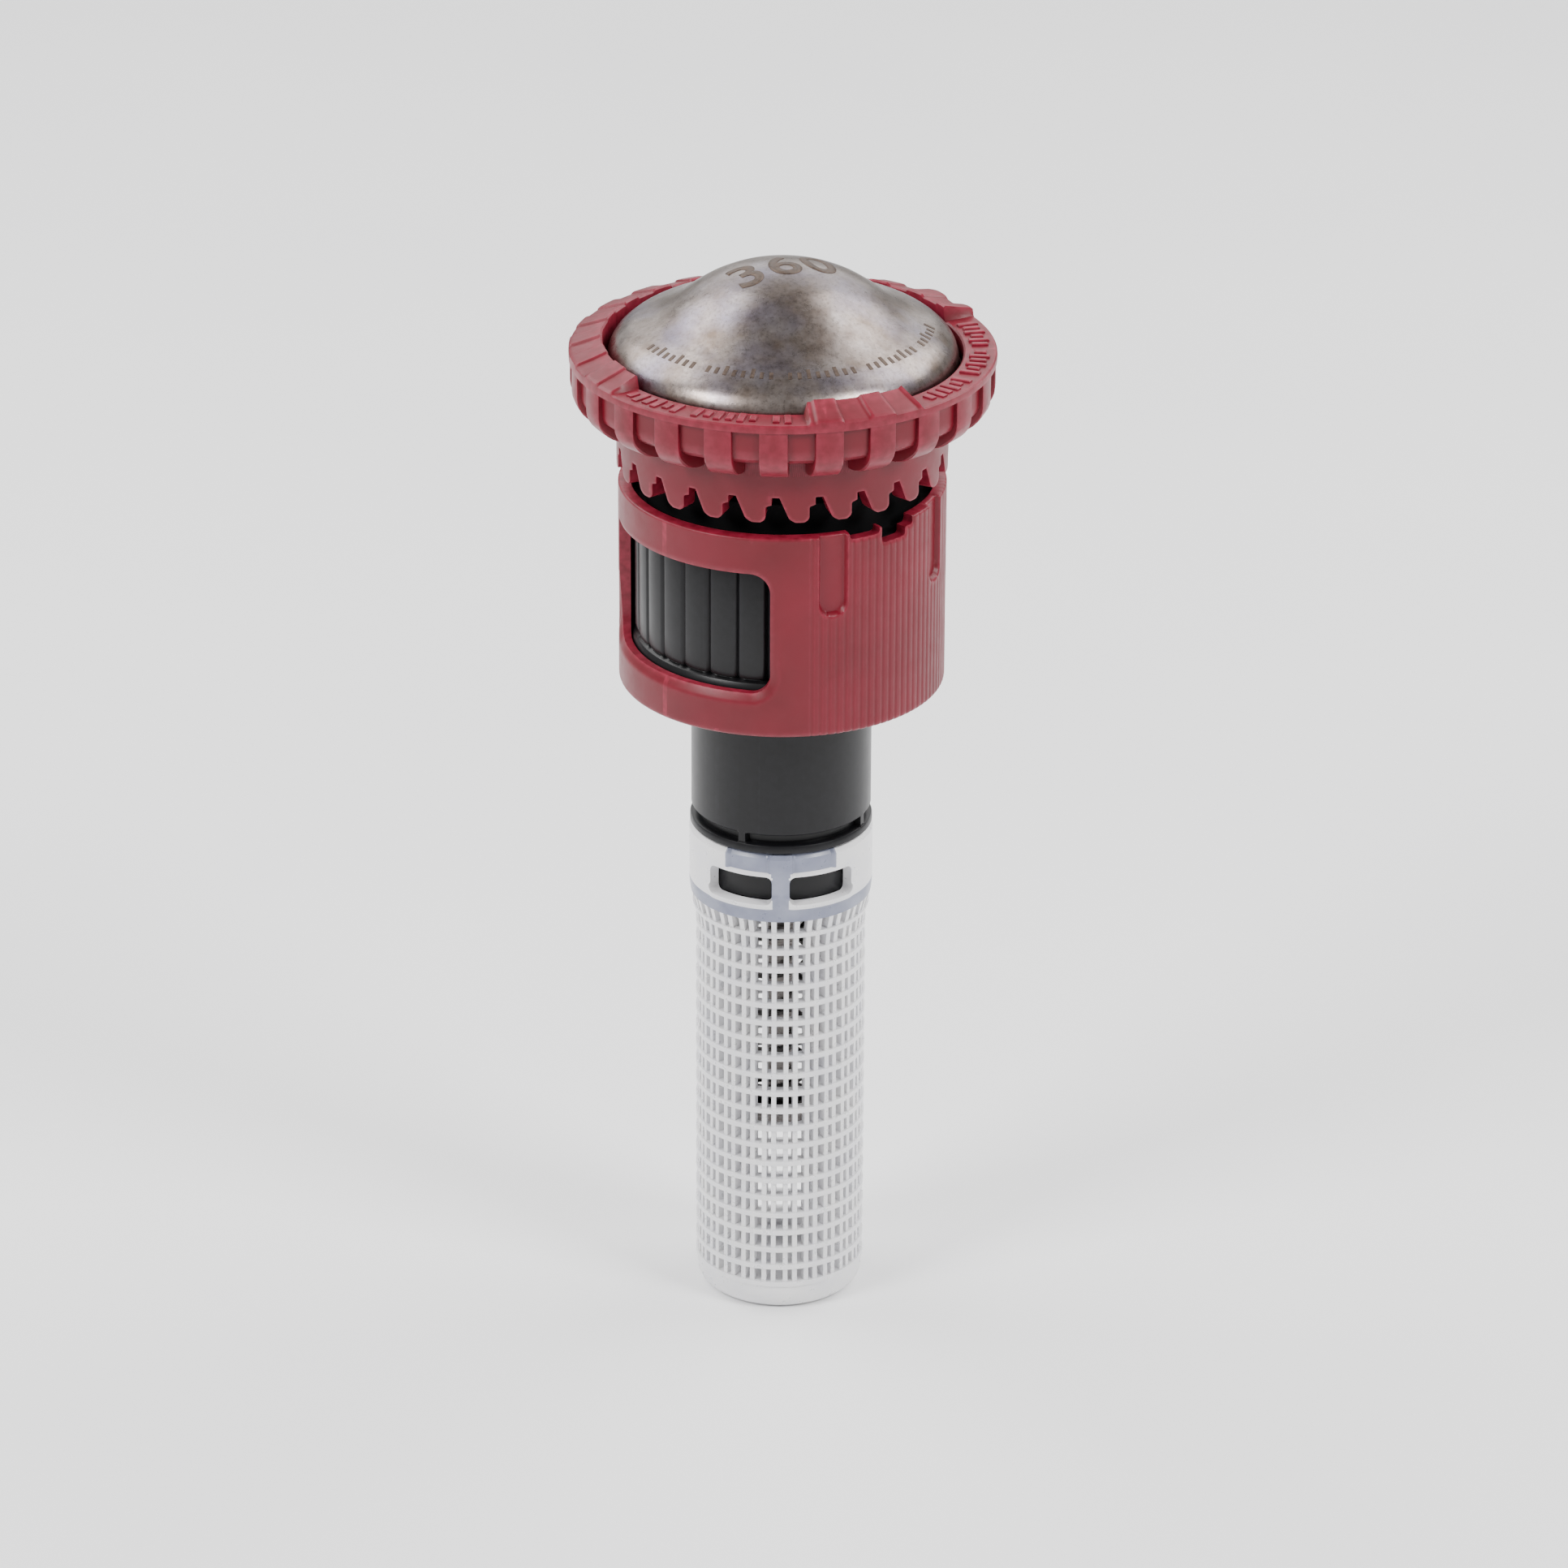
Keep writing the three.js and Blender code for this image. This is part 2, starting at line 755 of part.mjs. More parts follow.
function returnSpring() {
  const low = retainerFoot + retainerFloor + springWire / 2 + stackGap;
  const high = postFoot - springWire / 2 - stackGap;
  const section = new THREE.Shape();
  section.absarc(0, 0, springWire / 2, 0, 2 * Math.PI, false);
  const settings = {
    steps: springTurns * springSteps,
    curveSegments: springSides,
    extrudePath: new Helix(springRadius, low, high, springTurns),
    bevelEnabled: false,
  };
  return toSolid(new THREE.ExtrudeGeometry(section, settings));
}

// ---- Seals ----

// A round-section ring whose middle is at a radius and a height.
function oRing(radius, height) {
  const profile = Array.from({ length: oRingSides }, (unused, i) => {
    const angle = (2 * Math.PI * i) / oRingSides;
    return [radius + oRingSection * Math.cos(angle), height + oRingSection * Math.sin(angle)];
  });
  return revolve(profile, coarse);
}

function lowerORing() {
  const radius = (splineTubeRadius + coverBore) / 2;
  return oRing(radius, baseTop + oRingSection + stackGap / 2);
}

function upperORing() {
  return oRing(splineRadius + splineTubeWall / 2 + oRingSection, plateFoot - oRingSection - stackGap);
}

// ---- The assembly, one group for each body that moves ----

function body(...pieces) {
  const group = new THREE.Group();
  for (const [name, solid, look] of pieces) group.add(pieceMesh(name, solid, look));
  return group;
}

const nozzle = new THREE.Group();

nozzle.add(
  body(["filter_basket", filterBasket(), clearPlastic]),
  body(
    ["inlet_tube", inletTube(), blackPlastic],
    ["nozzle_base", nozzleBase(), blackPlastic],
    ["seat_gasket", seatGasket(), blackRubber],
    ["outer_sleeve", outerSleeve(), redPlastic],
    ["nozzle_plate", nozzlePlate(), blackPlastic],
    ["lower_o_ring", lowerORing(), blackRubber],
    ["upper_o_ring", upperORing(), blackRubber],
    ["return_spring", returnSpring(), springSteel],
  ),
  body(["adjusting_collar", adjustingCollar(), blackPlastic]),
  body(["throttle_nut", throttleNut(), greyPlastic]),
  body(
    ["shaft", shaft(), stainless],
    ["friction_disc", frictionDisc(), greyPlastic],
    ["shaft_clip", shaftClip(), springSteel],
    ["spring_retainer", springRetainer(), stainless],
    ["lock_nut", lockNut(), stainless],
  ),
  body(
    ["deflector", deflector(), redPlastic],
    ["cap", cap(), stainless],
    ["lower_bush", lowerBush(), greyPlastic],
    ["shaft_seal", shaftSeal(), blackRubber],
    ["thrust_washer", thrustWasher(), springSteel],
    ["brake_pad", brakePad(), blackRubber],
    ["brake_cover", brakeCover(), greyPlastic],
  ),
);

export default nozzle;
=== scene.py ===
import json
import math
import bpy
import bmesh
from mathutils import Matrix, Vector

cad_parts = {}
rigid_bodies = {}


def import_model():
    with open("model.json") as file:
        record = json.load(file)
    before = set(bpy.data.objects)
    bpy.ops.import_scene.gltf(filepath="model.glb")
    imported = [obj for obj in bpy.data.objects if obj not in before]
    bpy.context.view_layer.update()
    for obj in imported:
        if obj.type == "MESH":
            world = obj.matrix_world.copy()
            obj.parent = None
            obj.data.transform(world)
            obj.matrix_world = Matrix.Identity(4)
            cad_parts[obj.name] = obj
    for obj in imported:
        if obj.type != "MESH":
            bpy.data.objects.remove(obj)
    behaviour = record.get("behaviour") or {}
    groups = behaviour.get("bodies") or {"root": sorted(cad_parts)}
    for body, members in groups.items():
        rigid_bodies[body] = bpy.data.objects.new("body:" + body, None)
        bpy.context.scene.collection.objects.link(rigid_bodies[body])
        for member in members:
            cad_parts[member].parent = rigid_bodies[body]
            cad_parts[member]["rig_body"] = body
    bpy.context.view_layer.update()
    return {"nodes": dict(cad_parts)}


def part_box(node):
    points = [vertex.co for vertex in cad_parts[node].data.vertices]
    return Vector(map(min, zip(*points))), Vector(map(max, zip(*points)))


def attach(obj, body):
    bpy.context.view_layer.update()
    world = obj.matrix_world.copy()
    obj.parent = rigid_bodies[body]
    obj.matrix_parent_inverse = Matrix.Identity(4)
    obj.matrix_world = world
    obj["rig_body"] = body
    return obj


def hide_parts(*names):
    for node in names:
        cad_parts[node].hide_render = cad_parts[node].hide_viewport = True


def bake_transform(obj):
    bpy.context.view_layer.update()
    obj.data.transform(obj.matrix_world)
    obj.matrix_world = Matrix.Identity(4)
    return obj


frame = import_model()
mm = 0.001


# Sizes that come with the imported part, in millimetres.
def reach(node):
    low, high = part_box(node)
    return {"foot": low.z / mm, "top": high.z / mm, "radius": high.x / mm}


cadCap = reach("cap")
cadRing = reach("deflector")
cadSleeve = reach("outer_sleeve")
cadCollar = reach("adjusting_collar")
cadNeck = reach("inlet_tube")
cadFilter = reach("filter_basket")
cadSpring = reach("return_spring")
cadPlate = reach("nozzle_plate")
cadBase = reach("nozzle_base")


# Camera and light

view = {
    "aim": 40.9,  # height on the axis, mm
    "aside": 0.21,  # the axis sits this far left of the middle, mm
    "distance": 532,
    "elevation": 24.4,
    "roll": 0.25,
    "lens": 165,
    "nearest": 10,
    "farthest": 20000,
}

lamps = [
    # name, azimuth, elevation, distance mm, width mm, height mm, power W
    ("keyLeft", -53, 38, 420, 130, 120, 1.4),
    ("keyRight", 55, 38, 420, 130, 120, 1.4),
    ("softLeft", -122, 44, 450, 320, 300, 1.6),
    ("softRight", 122, 44, 450, 320, 300, 1.6),
    ("backFill", 180, 30, 500, 420, 300, 0.7),
]

sky = {"tone": (1.0, 0.99, 0.985, 1.0), "strength": 0.42}


# A place from its turn about the axis, which is 0 at the front and grows to the right.
def around(turn, radius, height):
    a = math.radians(turn)
    return (radius * math.sin(a), -radius * math.cos(a), height)


# The outward and the sideways direction at a turn.
def directions(turn):
    a = math.radians(turn)
    return Vector((math.sin(a), -math.cos(a), 0)), Vector((math.cos(a), math.sin(a), 0))


def addCamera():
    aim = Vector((view["aside"], 0, view["aim"])) * mm
    e = math.radians(view["elevation"])
    back = Vector((0, -math.cos(e), math.sin(e)))
    data = bpy.data.cameras.new("camera")
    data.lens = view["lens"]
    camera = bpy.data.objects.new("camera", data)
    bpy.context.scene.collection.objects.link(camera)
    camera.location = aim + back * view["distance"] * mm
    camera.rotation_mode = "QUATERNION"
    roll = Matrix.Rotation(math.radians(view["roll"]), 4, "Z").to_quaternion()
    camera.rotation_quaternion = (-back).to_track_quat("-Z", "Y") @ roll
    data.clip_start = view["nearest"] * mm
    data.clip_end = view["farthest"] * mm
    bpy.context.scene.camera = camera


def addLamps():
    for name, turn, elevation, distance, width, height, power in lamps:
        e = math.radians(elevation)
        spot = Vector(around(turn, distance * math.cos(e), distance * math.sin(e))) * mm
        aim = Vector((0, 0, view["aim"])) * mm
        data = bpy.data.lights.new(name, "AREA")
        data.shape = "RECTANGLE"
        data.size = width * mm
        data.size_y = height * mm
        data.energy = power
        lamp = bpy.data.objects.new(name, data)
        bpy.context.scene.collection.objects.link(lamp)
        lamp.location = spot + aim
        lamp.rotation_mode = "QUATERNION"
        lamp.rotation_quaternion = (-spot).to_track_quat("-Z", "Y")
    world = bpy.data.worlds.new("studio")
    world.use_nodes = True
    background = world.node_tree.nodes["Background"]
    background.inputs["Color"].default_value = sky["tone"]
    background.inputs["Strength"].default_value = sky["strength"]
    bpy.context.scene.world = world


# Materials

def linear(hexColour):
    parts = [int(hexColour[i:i + 2], 16) / 255 for i in (1, 3, 5)]
    return tuple(c / 12.92 if c <= 0.04045 else ((c + 0.055) / 1.055) ** 2.4 for c in parts) + (1.0,)


def addNode(material, kind, settings=None, links=None):
    node = material.node_tree.nodes.new("ShaderNode" + kind)
    for key, value in (settings or {}).items():
        if isinstance(key, int) or key in node.inputs:
            node.inputs[key].default_value = value
        else:
            setattr(node, key, value)
    for socket, source in (links or {}).items():
        material.node_tree.links.new(source, node.inputs[socket])
    return node


def newMaterial(name, shaderSettings):
    material = bpy.data.materials.new(name)
    material.use_nodes = True
    shader = material.node_tree.nodes["Principled BSDF"]
    for key, value in shaderSettings.items():
        shader.inputs[key].default_value = value
    coordinates = addNode(material, "TexCoord")
    inMillimetres = addNode(material, "VectorMath", {"operation": "SCALE", "Scale": 1 / mm},
                            {0: coordinates.outputs["Object"]})
    return material, shader, inMillimetres.outputs[0]


def ramp(material, source, stops):
    node = addNode(material, "ValToRGB", links={"Fac": source})
    elements = node.color_ramp.elements
    while len(elements) < len(stops):
        elements.new(0.5)
    for element, (position, colour) in zip(elements, stops):
        element.position = position
        element.color = linear(colour) if isinstance(colour, str) else (colour, colour, colour, 1.0)
    return node.outputs["Color"]


def noise(material, place, perMillimetre, detail=2.0, rough=0.5):
    node = addNode(material, "TexNoise", {"Scale": perMillimetre, "Detail": detail, "Roughness": rough},
                   {"Vector": place})
    return node.outputs["Fac"]


def connect(material, source, shader, socket):
    material.node_tree.links.new(source, shader.inputs[socket])


def bumped(material, shader, height, depth, strength=1.0, after=None):
    links = {"Height": height}
    if after:
        links["Normal"] = after
    node = addNode(material, "Bump", {"Distance": depth * mm, "Strength": strength}, links)
    connect(material, node.outputs["Normal"], shader, "Normal")
    return node.outputs["Normal"]


# A dyed moulding: a slight cloud in its colour, paler convex edges in another tone (partly wear, partly a
# painted highlight), and a fine grain.
def mouldedPlastic(name, colours, rough, grainDepth, edgeShare=1.0, shine=0.5):
    dark, mid, edge = colours
    material, shader, place = newMaterial(name, {"IOR": 1.48, "Specular IOR Level": shine})
    cloud = noise(material, place, 0.16, 3.0)
    base = ramp(material, cloud, [(0.3, dark), (0.72, mid)])
    # Pointiness marks the convex edges; their paler tone is partly wear and partly a painted highlight.
    edgeWearAndHighlight = addNode(material, "NewGeometry").outputs["Pointiness"]
    onEdges = ramp(material, edgeWearAndHighlight, [(0.5, 0.0), (0.56, 1.0)])
    patches = noise(material, place, 1.6, 4.0)
    broken = ramp(material, patches, [(0.35, 0.25 * edgeShare), (0.65, edgeShare)])
    share = addNode(material, "Math", {"operation": "MULTIPLY"}, {0: onEdges, 1: broken})
    tint = addNode(material, "Mix", {"data_type": "RGBA", 7: linear(edge)},
                   {0: share.outputs[0], 6: base})
    connect(material, tint.outputs[2], shader, "Base Color")
    smears = noise(material, place, 0.9, 4.0)
    connect(material, ramp(material, smears, [(0.3, rough[0]), (0.7, rough[1])]), shader, "Roughness")
    bumped(material, shader, noise(material, place, 7.0, 3.0), grainDepth, 0.6)
    return material


# ABS, injection moulded from a dyed pellet: even colour with a slight cloud, satin where the tool was
# sparked, and paler on its edges, partly from handling and partly as a painted highlight.
redAbs = mouldedPlastic("injection moulded red ABS", ("#5c0514", "#6c081d", "#98283f"),
                        (0.38, 0.46), 0.006, edgeShare=0.6, shine=0.4)
# Nylon filled with carbon black, from a polished tool: an even black with a low, smooth shine.
blackNylon = mouldedPlastic("moulded black nylon", ("#0a0a0c", "#0c0c0e", "#1d1d21"),
                            (0.33, 0.37), 0.001, edgeShare=0.5, shine=0.3)
# The same nylon where the tool was left rough, deep in the nozzle: it takes the light without a shine, and
# its colour is darker than the other nylon's as painted shade for the recess.
shadedBlackNylon = mouldedPlastic("moulded black nylon, darkened as painted shade", ("#060607", "#080809", "#121214"),
                           (0.7, 0.8), 0.004, edgeShare=0.5, shine=0.1)
# Acetal, moulded in natural grey: dull and slightly waxy.
greyAcetal = mouldedPlastic("moulded grey acetal", ("#8d8b86", "#a7a59f", "#b9b8b3"), (0.35, 0.5), 0.01)
# EPDM rubber, compression moulded: matt, with paler edges, partly a dusty bloom and partly a painted
# highlight.
blackRubber = mouldedPlastic("moulded EPDM rubber", ("#111112", "#19191a", "#2e2e2f"), (0.6, 0.8), 0.015)


# Stainless sheet, drawn over a punch and laser marked: bright but softened by handling, with fine
# rings from the draw, brown heat and water stains, dark specks and a bluish film in patches.
def drawnStainless():
    material, shader, place = newMaterial("drawn stainless steel", {"Metallic": 1.0})
    stain = noise(material, place, 0.35, 6.0, 0.65)
    clean = ramp(material, stain, [(0.32, "#6d5f55"), (0.5, "#887d77"), (0.7, "#9d9490")])
    film = ramp(material, noise(material, place, 0.22, 4.0), [(0.45, 0.0), (0.7, 0.55)])
    blued = addNode(material, "Mix", {"data_type": "RGBA", 7: linear("#716f88")}, {0: film, 6: clean})
    specks = ramp(material, noise(material, place, 3.5, 5.0, 0.7), [(0.33, 0.55), (0.5, 0.0)])
    spotted = addNode(material, "Mix", {"data_type": "RGBA", 7: linear("#574f4a")},
                      {0: specks, 6: blued.outputs[2]})
    connect(material, spotted.outputs[2], shader, "Base Color")
    rough = ramp(material, noise(material, place, 1.1, 6.0, 0.7), [(0.3, 0.24), (0.7, 0.38)])
    connect(material, rough, shader, "Roughness")
    apart = addNode(material, "SeparateXYZ", links={0: place})
    flat = addNode(material, "CombineXYZ", links={0: apart.outputs[0], 1: apart.outputs[1]})
    across = addNode(material, "VectorMath", {"operation": "LENGTH"}, {0: flat.outputs[0]})
    ringPlace = addNode(material, "CombineXYZ", links={0: across.outputs["Value"], 1: apart.outputs[2]})
    rings = noise(material, ringPlace.outputs[0], 5.0, 3.0, 0.8)
    first = bumped(material, shader, rings, 0.01, 0.35)
    bumped(material, shader, noise(material, place, 1.4, 5.0, 0.6), 0.03, 0.3, first)
    return material


# A laser mark is oxide: brown, matt and hardly metallic.
def laserMark():
    material, shader, place = newMaterial("laser marked stainless steel", {"Metallic": 0.75})
    patchy = noise(material, place, 2.5, 4.0)
    connect(material, ramp(material, patchy, [(0.3, "#463a33"), (0.7, "#64554b")]), shader, "Base Color")
    connect(material, ramp(material, patchy, [(0.3, 0.4), (0.7, 0.6)]), shader, "Roughness")
    return material


# Turned or rolled stainless parts: bright, with fine marks round the axis.
def turnedSteel(name, low, high):
    material, shader, place = newMaterial(name, {"Metallic": 1.0})
    marks = addNode(material, "Mapping", {"Scale": (0.4, 0.4, 9.0)}, {0: place})
    fine = noise(material, marks.outputs[0], 1.0, 4.0, 0.7)
    connect(material, ramp(material, fine, [(0.3, low), (0.7, high)]), shader, "Base Color")
    connect(material, ramp(material, fine, [(0.3, 0.2), (0.7, 0.38)]), shader, "Roughness")
    bumped(material, shader, fine, 0.006, 0.4)
    return material


# Natural polypropylene, milky white; a blue-grey copy of it is painted shade where the dark parts inside lie
# behind the wall.
def clearPolypropylene(name, low, high, through):
    material, shader, place = newMaterial(name, {"IOR": 1.49, "Transmission Weight": through})
    haze = noise(material, place, 0.5, 3.0)
    connect(material, ramp(material, haze, [(0.3, low), (0.7, high)]), shader, "Base Color")
    smears = noise(material, place, 1.2, 3.0)
    connect(material, ramp(material, smears, [(0.3, 0.26), (0.7, 0.36)]), shader, "Roughness")
    bumped(material, shader, noise(material, place, 1.4, 2.0), 0.006, 0.3)
    return material


steelCap = drawnStainless()
steelMark = laserMark()
turnedStainless = turnedSteel("turned stainless steel", "#6b6764", "#8b8784")
springWireSteel = turnedSteel("drawn spring steel wire", "#3d3b3a", "#5c5a58")
milkyPlastic = clearPolypropylene("moulded clear polypropylene", "#f6f6fa", "#fffefe", 0.25)
# Blue-grey copy: painted shade of the dark parts seen behind the clear wall.
shadedClearPlastic = clearPolypropylene("clear polypropylene with painted shade", "#7d8298", "#999db0", 0.2)
print("materials made")


# Meshes

def addPiece(name, verts, faces, material, body, nodes=(), slotName=None, smooth=38):
    mesh = bpy.data.meshes.new(name)
    mesh.from_pydata([(x * mm, y * mm, z * mm) for x, y, z in verts], [], faces)
    work = bmesh.new()
    work.from_mesh(mesh)
    bmesh.ops.remove_doubles(work, verts=work.verts, dist=0.002 * mm)
    bmesh.ops.dissolve_degenerate(work, edges=work.edges, dist=0.0005 * mm)
    loose = [v for v in work.verts if not v.link_faces]
    bmesh.ops.delete(work, geom=loose, context="VERTS")
    bmesh.ops.recalc_face_normals(work, faces=work.faces)
    work.to_mesh(mesh)
    work.free()
    mesh.materials.append(material)
    mesh.shade_smooth()
    mesh.set_sharp_from_angle(angle=math.radians(smooth))
    piece = bpy.data.objects.new(name, mesh)
    bpy.context.scene.collection.objects.link(piece)
    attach(piece, body)
    if nodes:
        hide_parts(*nodes)
    return piece


# Columns of points that go round the axis, each a closed loop of the same length.
def wrap(columns):
    count, rows = len(columns), len(columns[0])
    verts = [p for column in columns for p in column]
    faces = []
    for i in range(count):
        j = (i + 1) % count
        for k in range(rows):
            n = (k + 1) % rows
            faces.append((i * rows + k, j * rows + k, j * rows + n, i * rows + n))
    return verts, faces


# A closed outline of (radius, height) turned about the axis; the outline may change with the turn.
def turned(outline, steps):
    columns = []
    for i in range(steps):
        turn = 360 * i / steps
        line = outline(turn) if callable(outline) else outline
        columns.append([around(turn, r, z) for r, z in line])
    return wrap(columns)


# A smooth line through (radius, height) points.
def smoothLine(points, steps):
    ends = [points[0]] + list(points) + [points[-1]]
    line = []
    for a, b, c, d in zip(ends, ends[1:], ends[2:], ends[3:]):
        for i in range(steps):
            t = i / steps
            line.append(tuple(
                0.5 * (2 * b[k] + (c[k] - a[k]) * t + (2 * a[k] - 5 * b[k] + 4 * c[k] - d[k]) * t * t
                       + (3 * b[k] - a[k] - 3 * c[k] + d[k]) * t ** 3) for k in (0, 1)))
    return line + [points[-1]]


def spaced(low, high, step):
    count = max(1, round((high - low) / step))
    return [low + (high - low) * i / count for i in range(count + 1)]


# The place on an opening's outline that is nearest, by one step along the slope of gap().
def ontoOutline(turn, z, gap, perDegree):
    away = gap(turn, z)
    step = 0.02
    slopeT = (gap(turn + step / perDegree, z) - gap(turn - step / perDegree, z)) / (2 * step)
    slopeZ = (gap(turn, z + step) - gap(turn, z - step)) / (2 * step)
    size = max(slopeT ** 2 + slopeZ ** 2, 0.2)
    return turn - away * slopeT / size / perDegree, z - away * slopeZ / size


# A wall that goes right round, between an outer and an inner radius, with openings where gap() is below 0.
# The wall's edges are moved on to the opening's outline, so they are smooth.
def shell(turns, levels, outer, inner, gap, radius):
    n, m = len(turns), len(levels)
    width = [(turns[(i + 1) % n] - turns[i]) % 360 for i in range(n)]
    middle = [turns[i] + width[i] / 2 for i in range(n)]
    keep = [[gap(middle[i], (levels[j] + levels[j + 1]) / 2) > 0 for j in range(m - 1)] for i in range(n)]
    spots = [[(turns[i], levels[j]) for j in range(m)] for i in range(n)]
    for i in range(n):
        for j in range(m):
            near = [keep[a][b] for a in (i - 1, i) for b in (j - 1, j) if 0 <= b < m - 1]
            if any(near) and not all(near):
                turn, z = ontoOutline(turns[i], levels[j], gap, math.radians(radius))
                spots[i][j] = (turn, min(max(z, levels[0]), levels[-1]))
    verts = [around(turn, outer(turn, z), z) for column in spots for turn, z in column]
    verts += [around(turn, inner(turn, z), z) for column in spots for turn, z in column]
    inside = n * m
    faces = []
    for i in range(n):
        e = (i + 1) % n
        for j in range(m - 1):
            if not keep[i][j]:
                continue
            a, b, c, d = i * m + j, e * m + j, e * m + j + 1, i * m + j + 1
            faces.append((a, b, c, d))
            faces.append((inside + d, inside + c, inside + b, inside + a))
            if j == 0 or not keep[i][j - 1]:
                faces.append((a, inside + a, inside + b, b))
            if j == m - 2 or not keep[i][j + 1]:
                faces.append((d, c, inside + c, inside + d))
            if not keep[i - 1][j]:
                faces.append((a, d, inside + d, inside + a))
            if not keep[e][j]:
                faces.append((b, inside + b, inside + c, c))
    return verts, faces


# The signed turn from one place to another, the short way round.
def turnBetween(turn, middle):
    return (turn - middle + 180) % 360 - 180


# The signed turn from the nearest of the places that repeat from a first one on.
def fromNearest(turn, first, pitch):
    return (turn - first + pitch / 2) % pitch - pitch / 2


# Distance in mm to the outline of a rounded box on the wall, below 0 inside it.
def roundedBox(turn, z, middle, level, halfTurn, halfHeight, corner, radius):
    u = abs(math.radians(turnBetween(turn, middle)) * radius) - (math.radians(halfTurn) * radius - corner)
    v = abs(z - level) - (halfHeight - corner)
    return math.hypot(max(u, 0), max(v, 0)) + min(max(u, v), 0) - corner


def smoothStep(low, high, x):
    t = min(max((x - low) / (high - low), 0), 1)
    return t * t * (3 - 2 * t)


# Cap: drawn from one sheet, a crown that flows into a shoulder and then a rolled side.
cap = {
    # out, down from the apex
    "line": [(0, 0), (2, 0.24), (4, 0.76), (5, 1.16), (6, 1.68), (7, 2.36), (8, 3.08), (9, 3.68),
             (10, 4.15), (11.1, 4.68), (11.9, 5.3), (12.4, 5.95), (12.66, 6.7), (12.7, 7.85)],
    "wall": 0.5,
    "digits": "360",
    "digitSize": 5.0,
    "digitTurn": 24,
    "digitBold": 0.09,
    "digitSpacing": 1.12,
    "ticks": (-62, 88),  # turn of the first tick, and the turn that they stay under
    "tickRadius": (10.15, 10.95),
    "tickShorter": 0.25,
    "tickPitch": 3.6,
    "tickWidth": 0.28,
    "markLift": 0.03,
    "markThick": 0.075,
    "markEdge": 0.45,  # edges in a mark's mesh that are longer than this are cut
}


def capLine():
    share = cadCap["radius"] / cap["line"][-1][0]
    return smoothLine([(r * share, cadCap["top"] - down) for r, down in cap["line"]], 5)


def capHeight(radius):
    line = capLine()
    for (r0, z0), (r1, z1) in zip(line, line[1:]):
        if r0 <= radius <= r1 and r1 > r0:
            return z0 + (z1 - z0) * (radius - r0) / (r1 - r0)
    return line[-1][1]


def makeCap():
    outside = capLine()
    share = (cadCap["radius"] - cap["wall"]) / cadCap["radius"]
    within = [(r * share, z - cap["wall"]) for r, z in outside]
    within[-1] = (within[-1][0], outside[-1][1])
    outline = outside + within[::-1]
    addPiece("cap_shell", *turned(outline, 180), steelCap, "rotor", ["cap"], "stainless", 60)


# A flat mesh in the plane of the cap is laid on the crown and given a thickness.
def layOnCap(mesh):
    work = bmesh.new()
    work.from_mesh(mesh)
    bmesh.ops.triangulate(work, faces=work.faces)
    for again in range(2):
        longest = [e for e in work.edges if e.calc_length() > cap["markEdge"] * mm]
        if longest:
            bmesh.ops.subdivide_edges(work, edges=longest, cuts=1)
            bmesh.ops.triangulate(work, faces=work.faces)
    for v in work.verts:
        v.co.z = (capHeight(math.hypot(v.co.x, v.co.y) / mm) + cap["markLift"]) * mm
    made = bmesh.ops.extrude_face_region(work, geom=work.faces[:])
    for v in [g for g in made["geom"] if isinstance(g, bmesh.types.BMVert)]:
        v.co.z -= cap["markThick"] * mm
    bmesh.ops.recalc_face_normals(work, faces=work.faces)
    work.to_mesh(mesh)
    work.free()


def addCapMark(name, mesh):
    layOnCap(mesh)
    mesh.name = name
    mesh.materials.clear()
    mesh.materials.append(steelMark)
    piece = bpy.data.objects.new(name, mesh)
    bpy.context.scene.collection.objects.link(piece)
    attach(piece, "rotor")


def makeCapDigits():
    text = bpy.data.curves.new("cap_digits", "FONT")
    text.body = cap["digits"]
    text.size = cap["digitSize"] * mm
    text.align_x = "CENTER"
    text.align_y = "CENTER"
    text.offset = cap["digitBold"] * mm
    text.space_character = cap["digitSpacing"]
    text.resolution_u = 6
    source = bpy.data.objects.new("cap_digits_source", text)
    bpy.context.scene.collection.objects.link(source)
    bpy.context.view_layer.update()
    mesh = bpy.data.meshes.new_from_object(source)
    bpy.data.objects.remove(source)
    mesh.transform(Matrix.Rotation(math.radians(cap["digitTurn"]), 4, "Z"))
    addCapMark("cap_digits", mesh)


# Every third tick is long, and every ninth is left out.
def makeCapTicks():
    inner, outer = cap["tickRadius"]
    half = cap["tickWidth"] / 2
    turn, end = cap["ticks"]
    count = 0
    verts, faces = [], []
    while turn < end:
        count += 1
        short = cap["tickShorter"] if count % 3 else 0.0
        if count % 9:
            out, side = directions(turn)
            first = len(verts)
            for r, s in ((inner + short, -half), (outer, -half), (outer, half), (inner + short, half)):
                verts.append(tuple((out * r + side * s) * mm))
            faces.append((first, first + 1, first + 2, first + 3))
        turn += cap["tickPitch"]
    mesh = bpy.data.meshes.new("cap_ticks")
    mesh.from_pydata(verts, [], faces)
    addCapMark("cap_ticks", mesh)


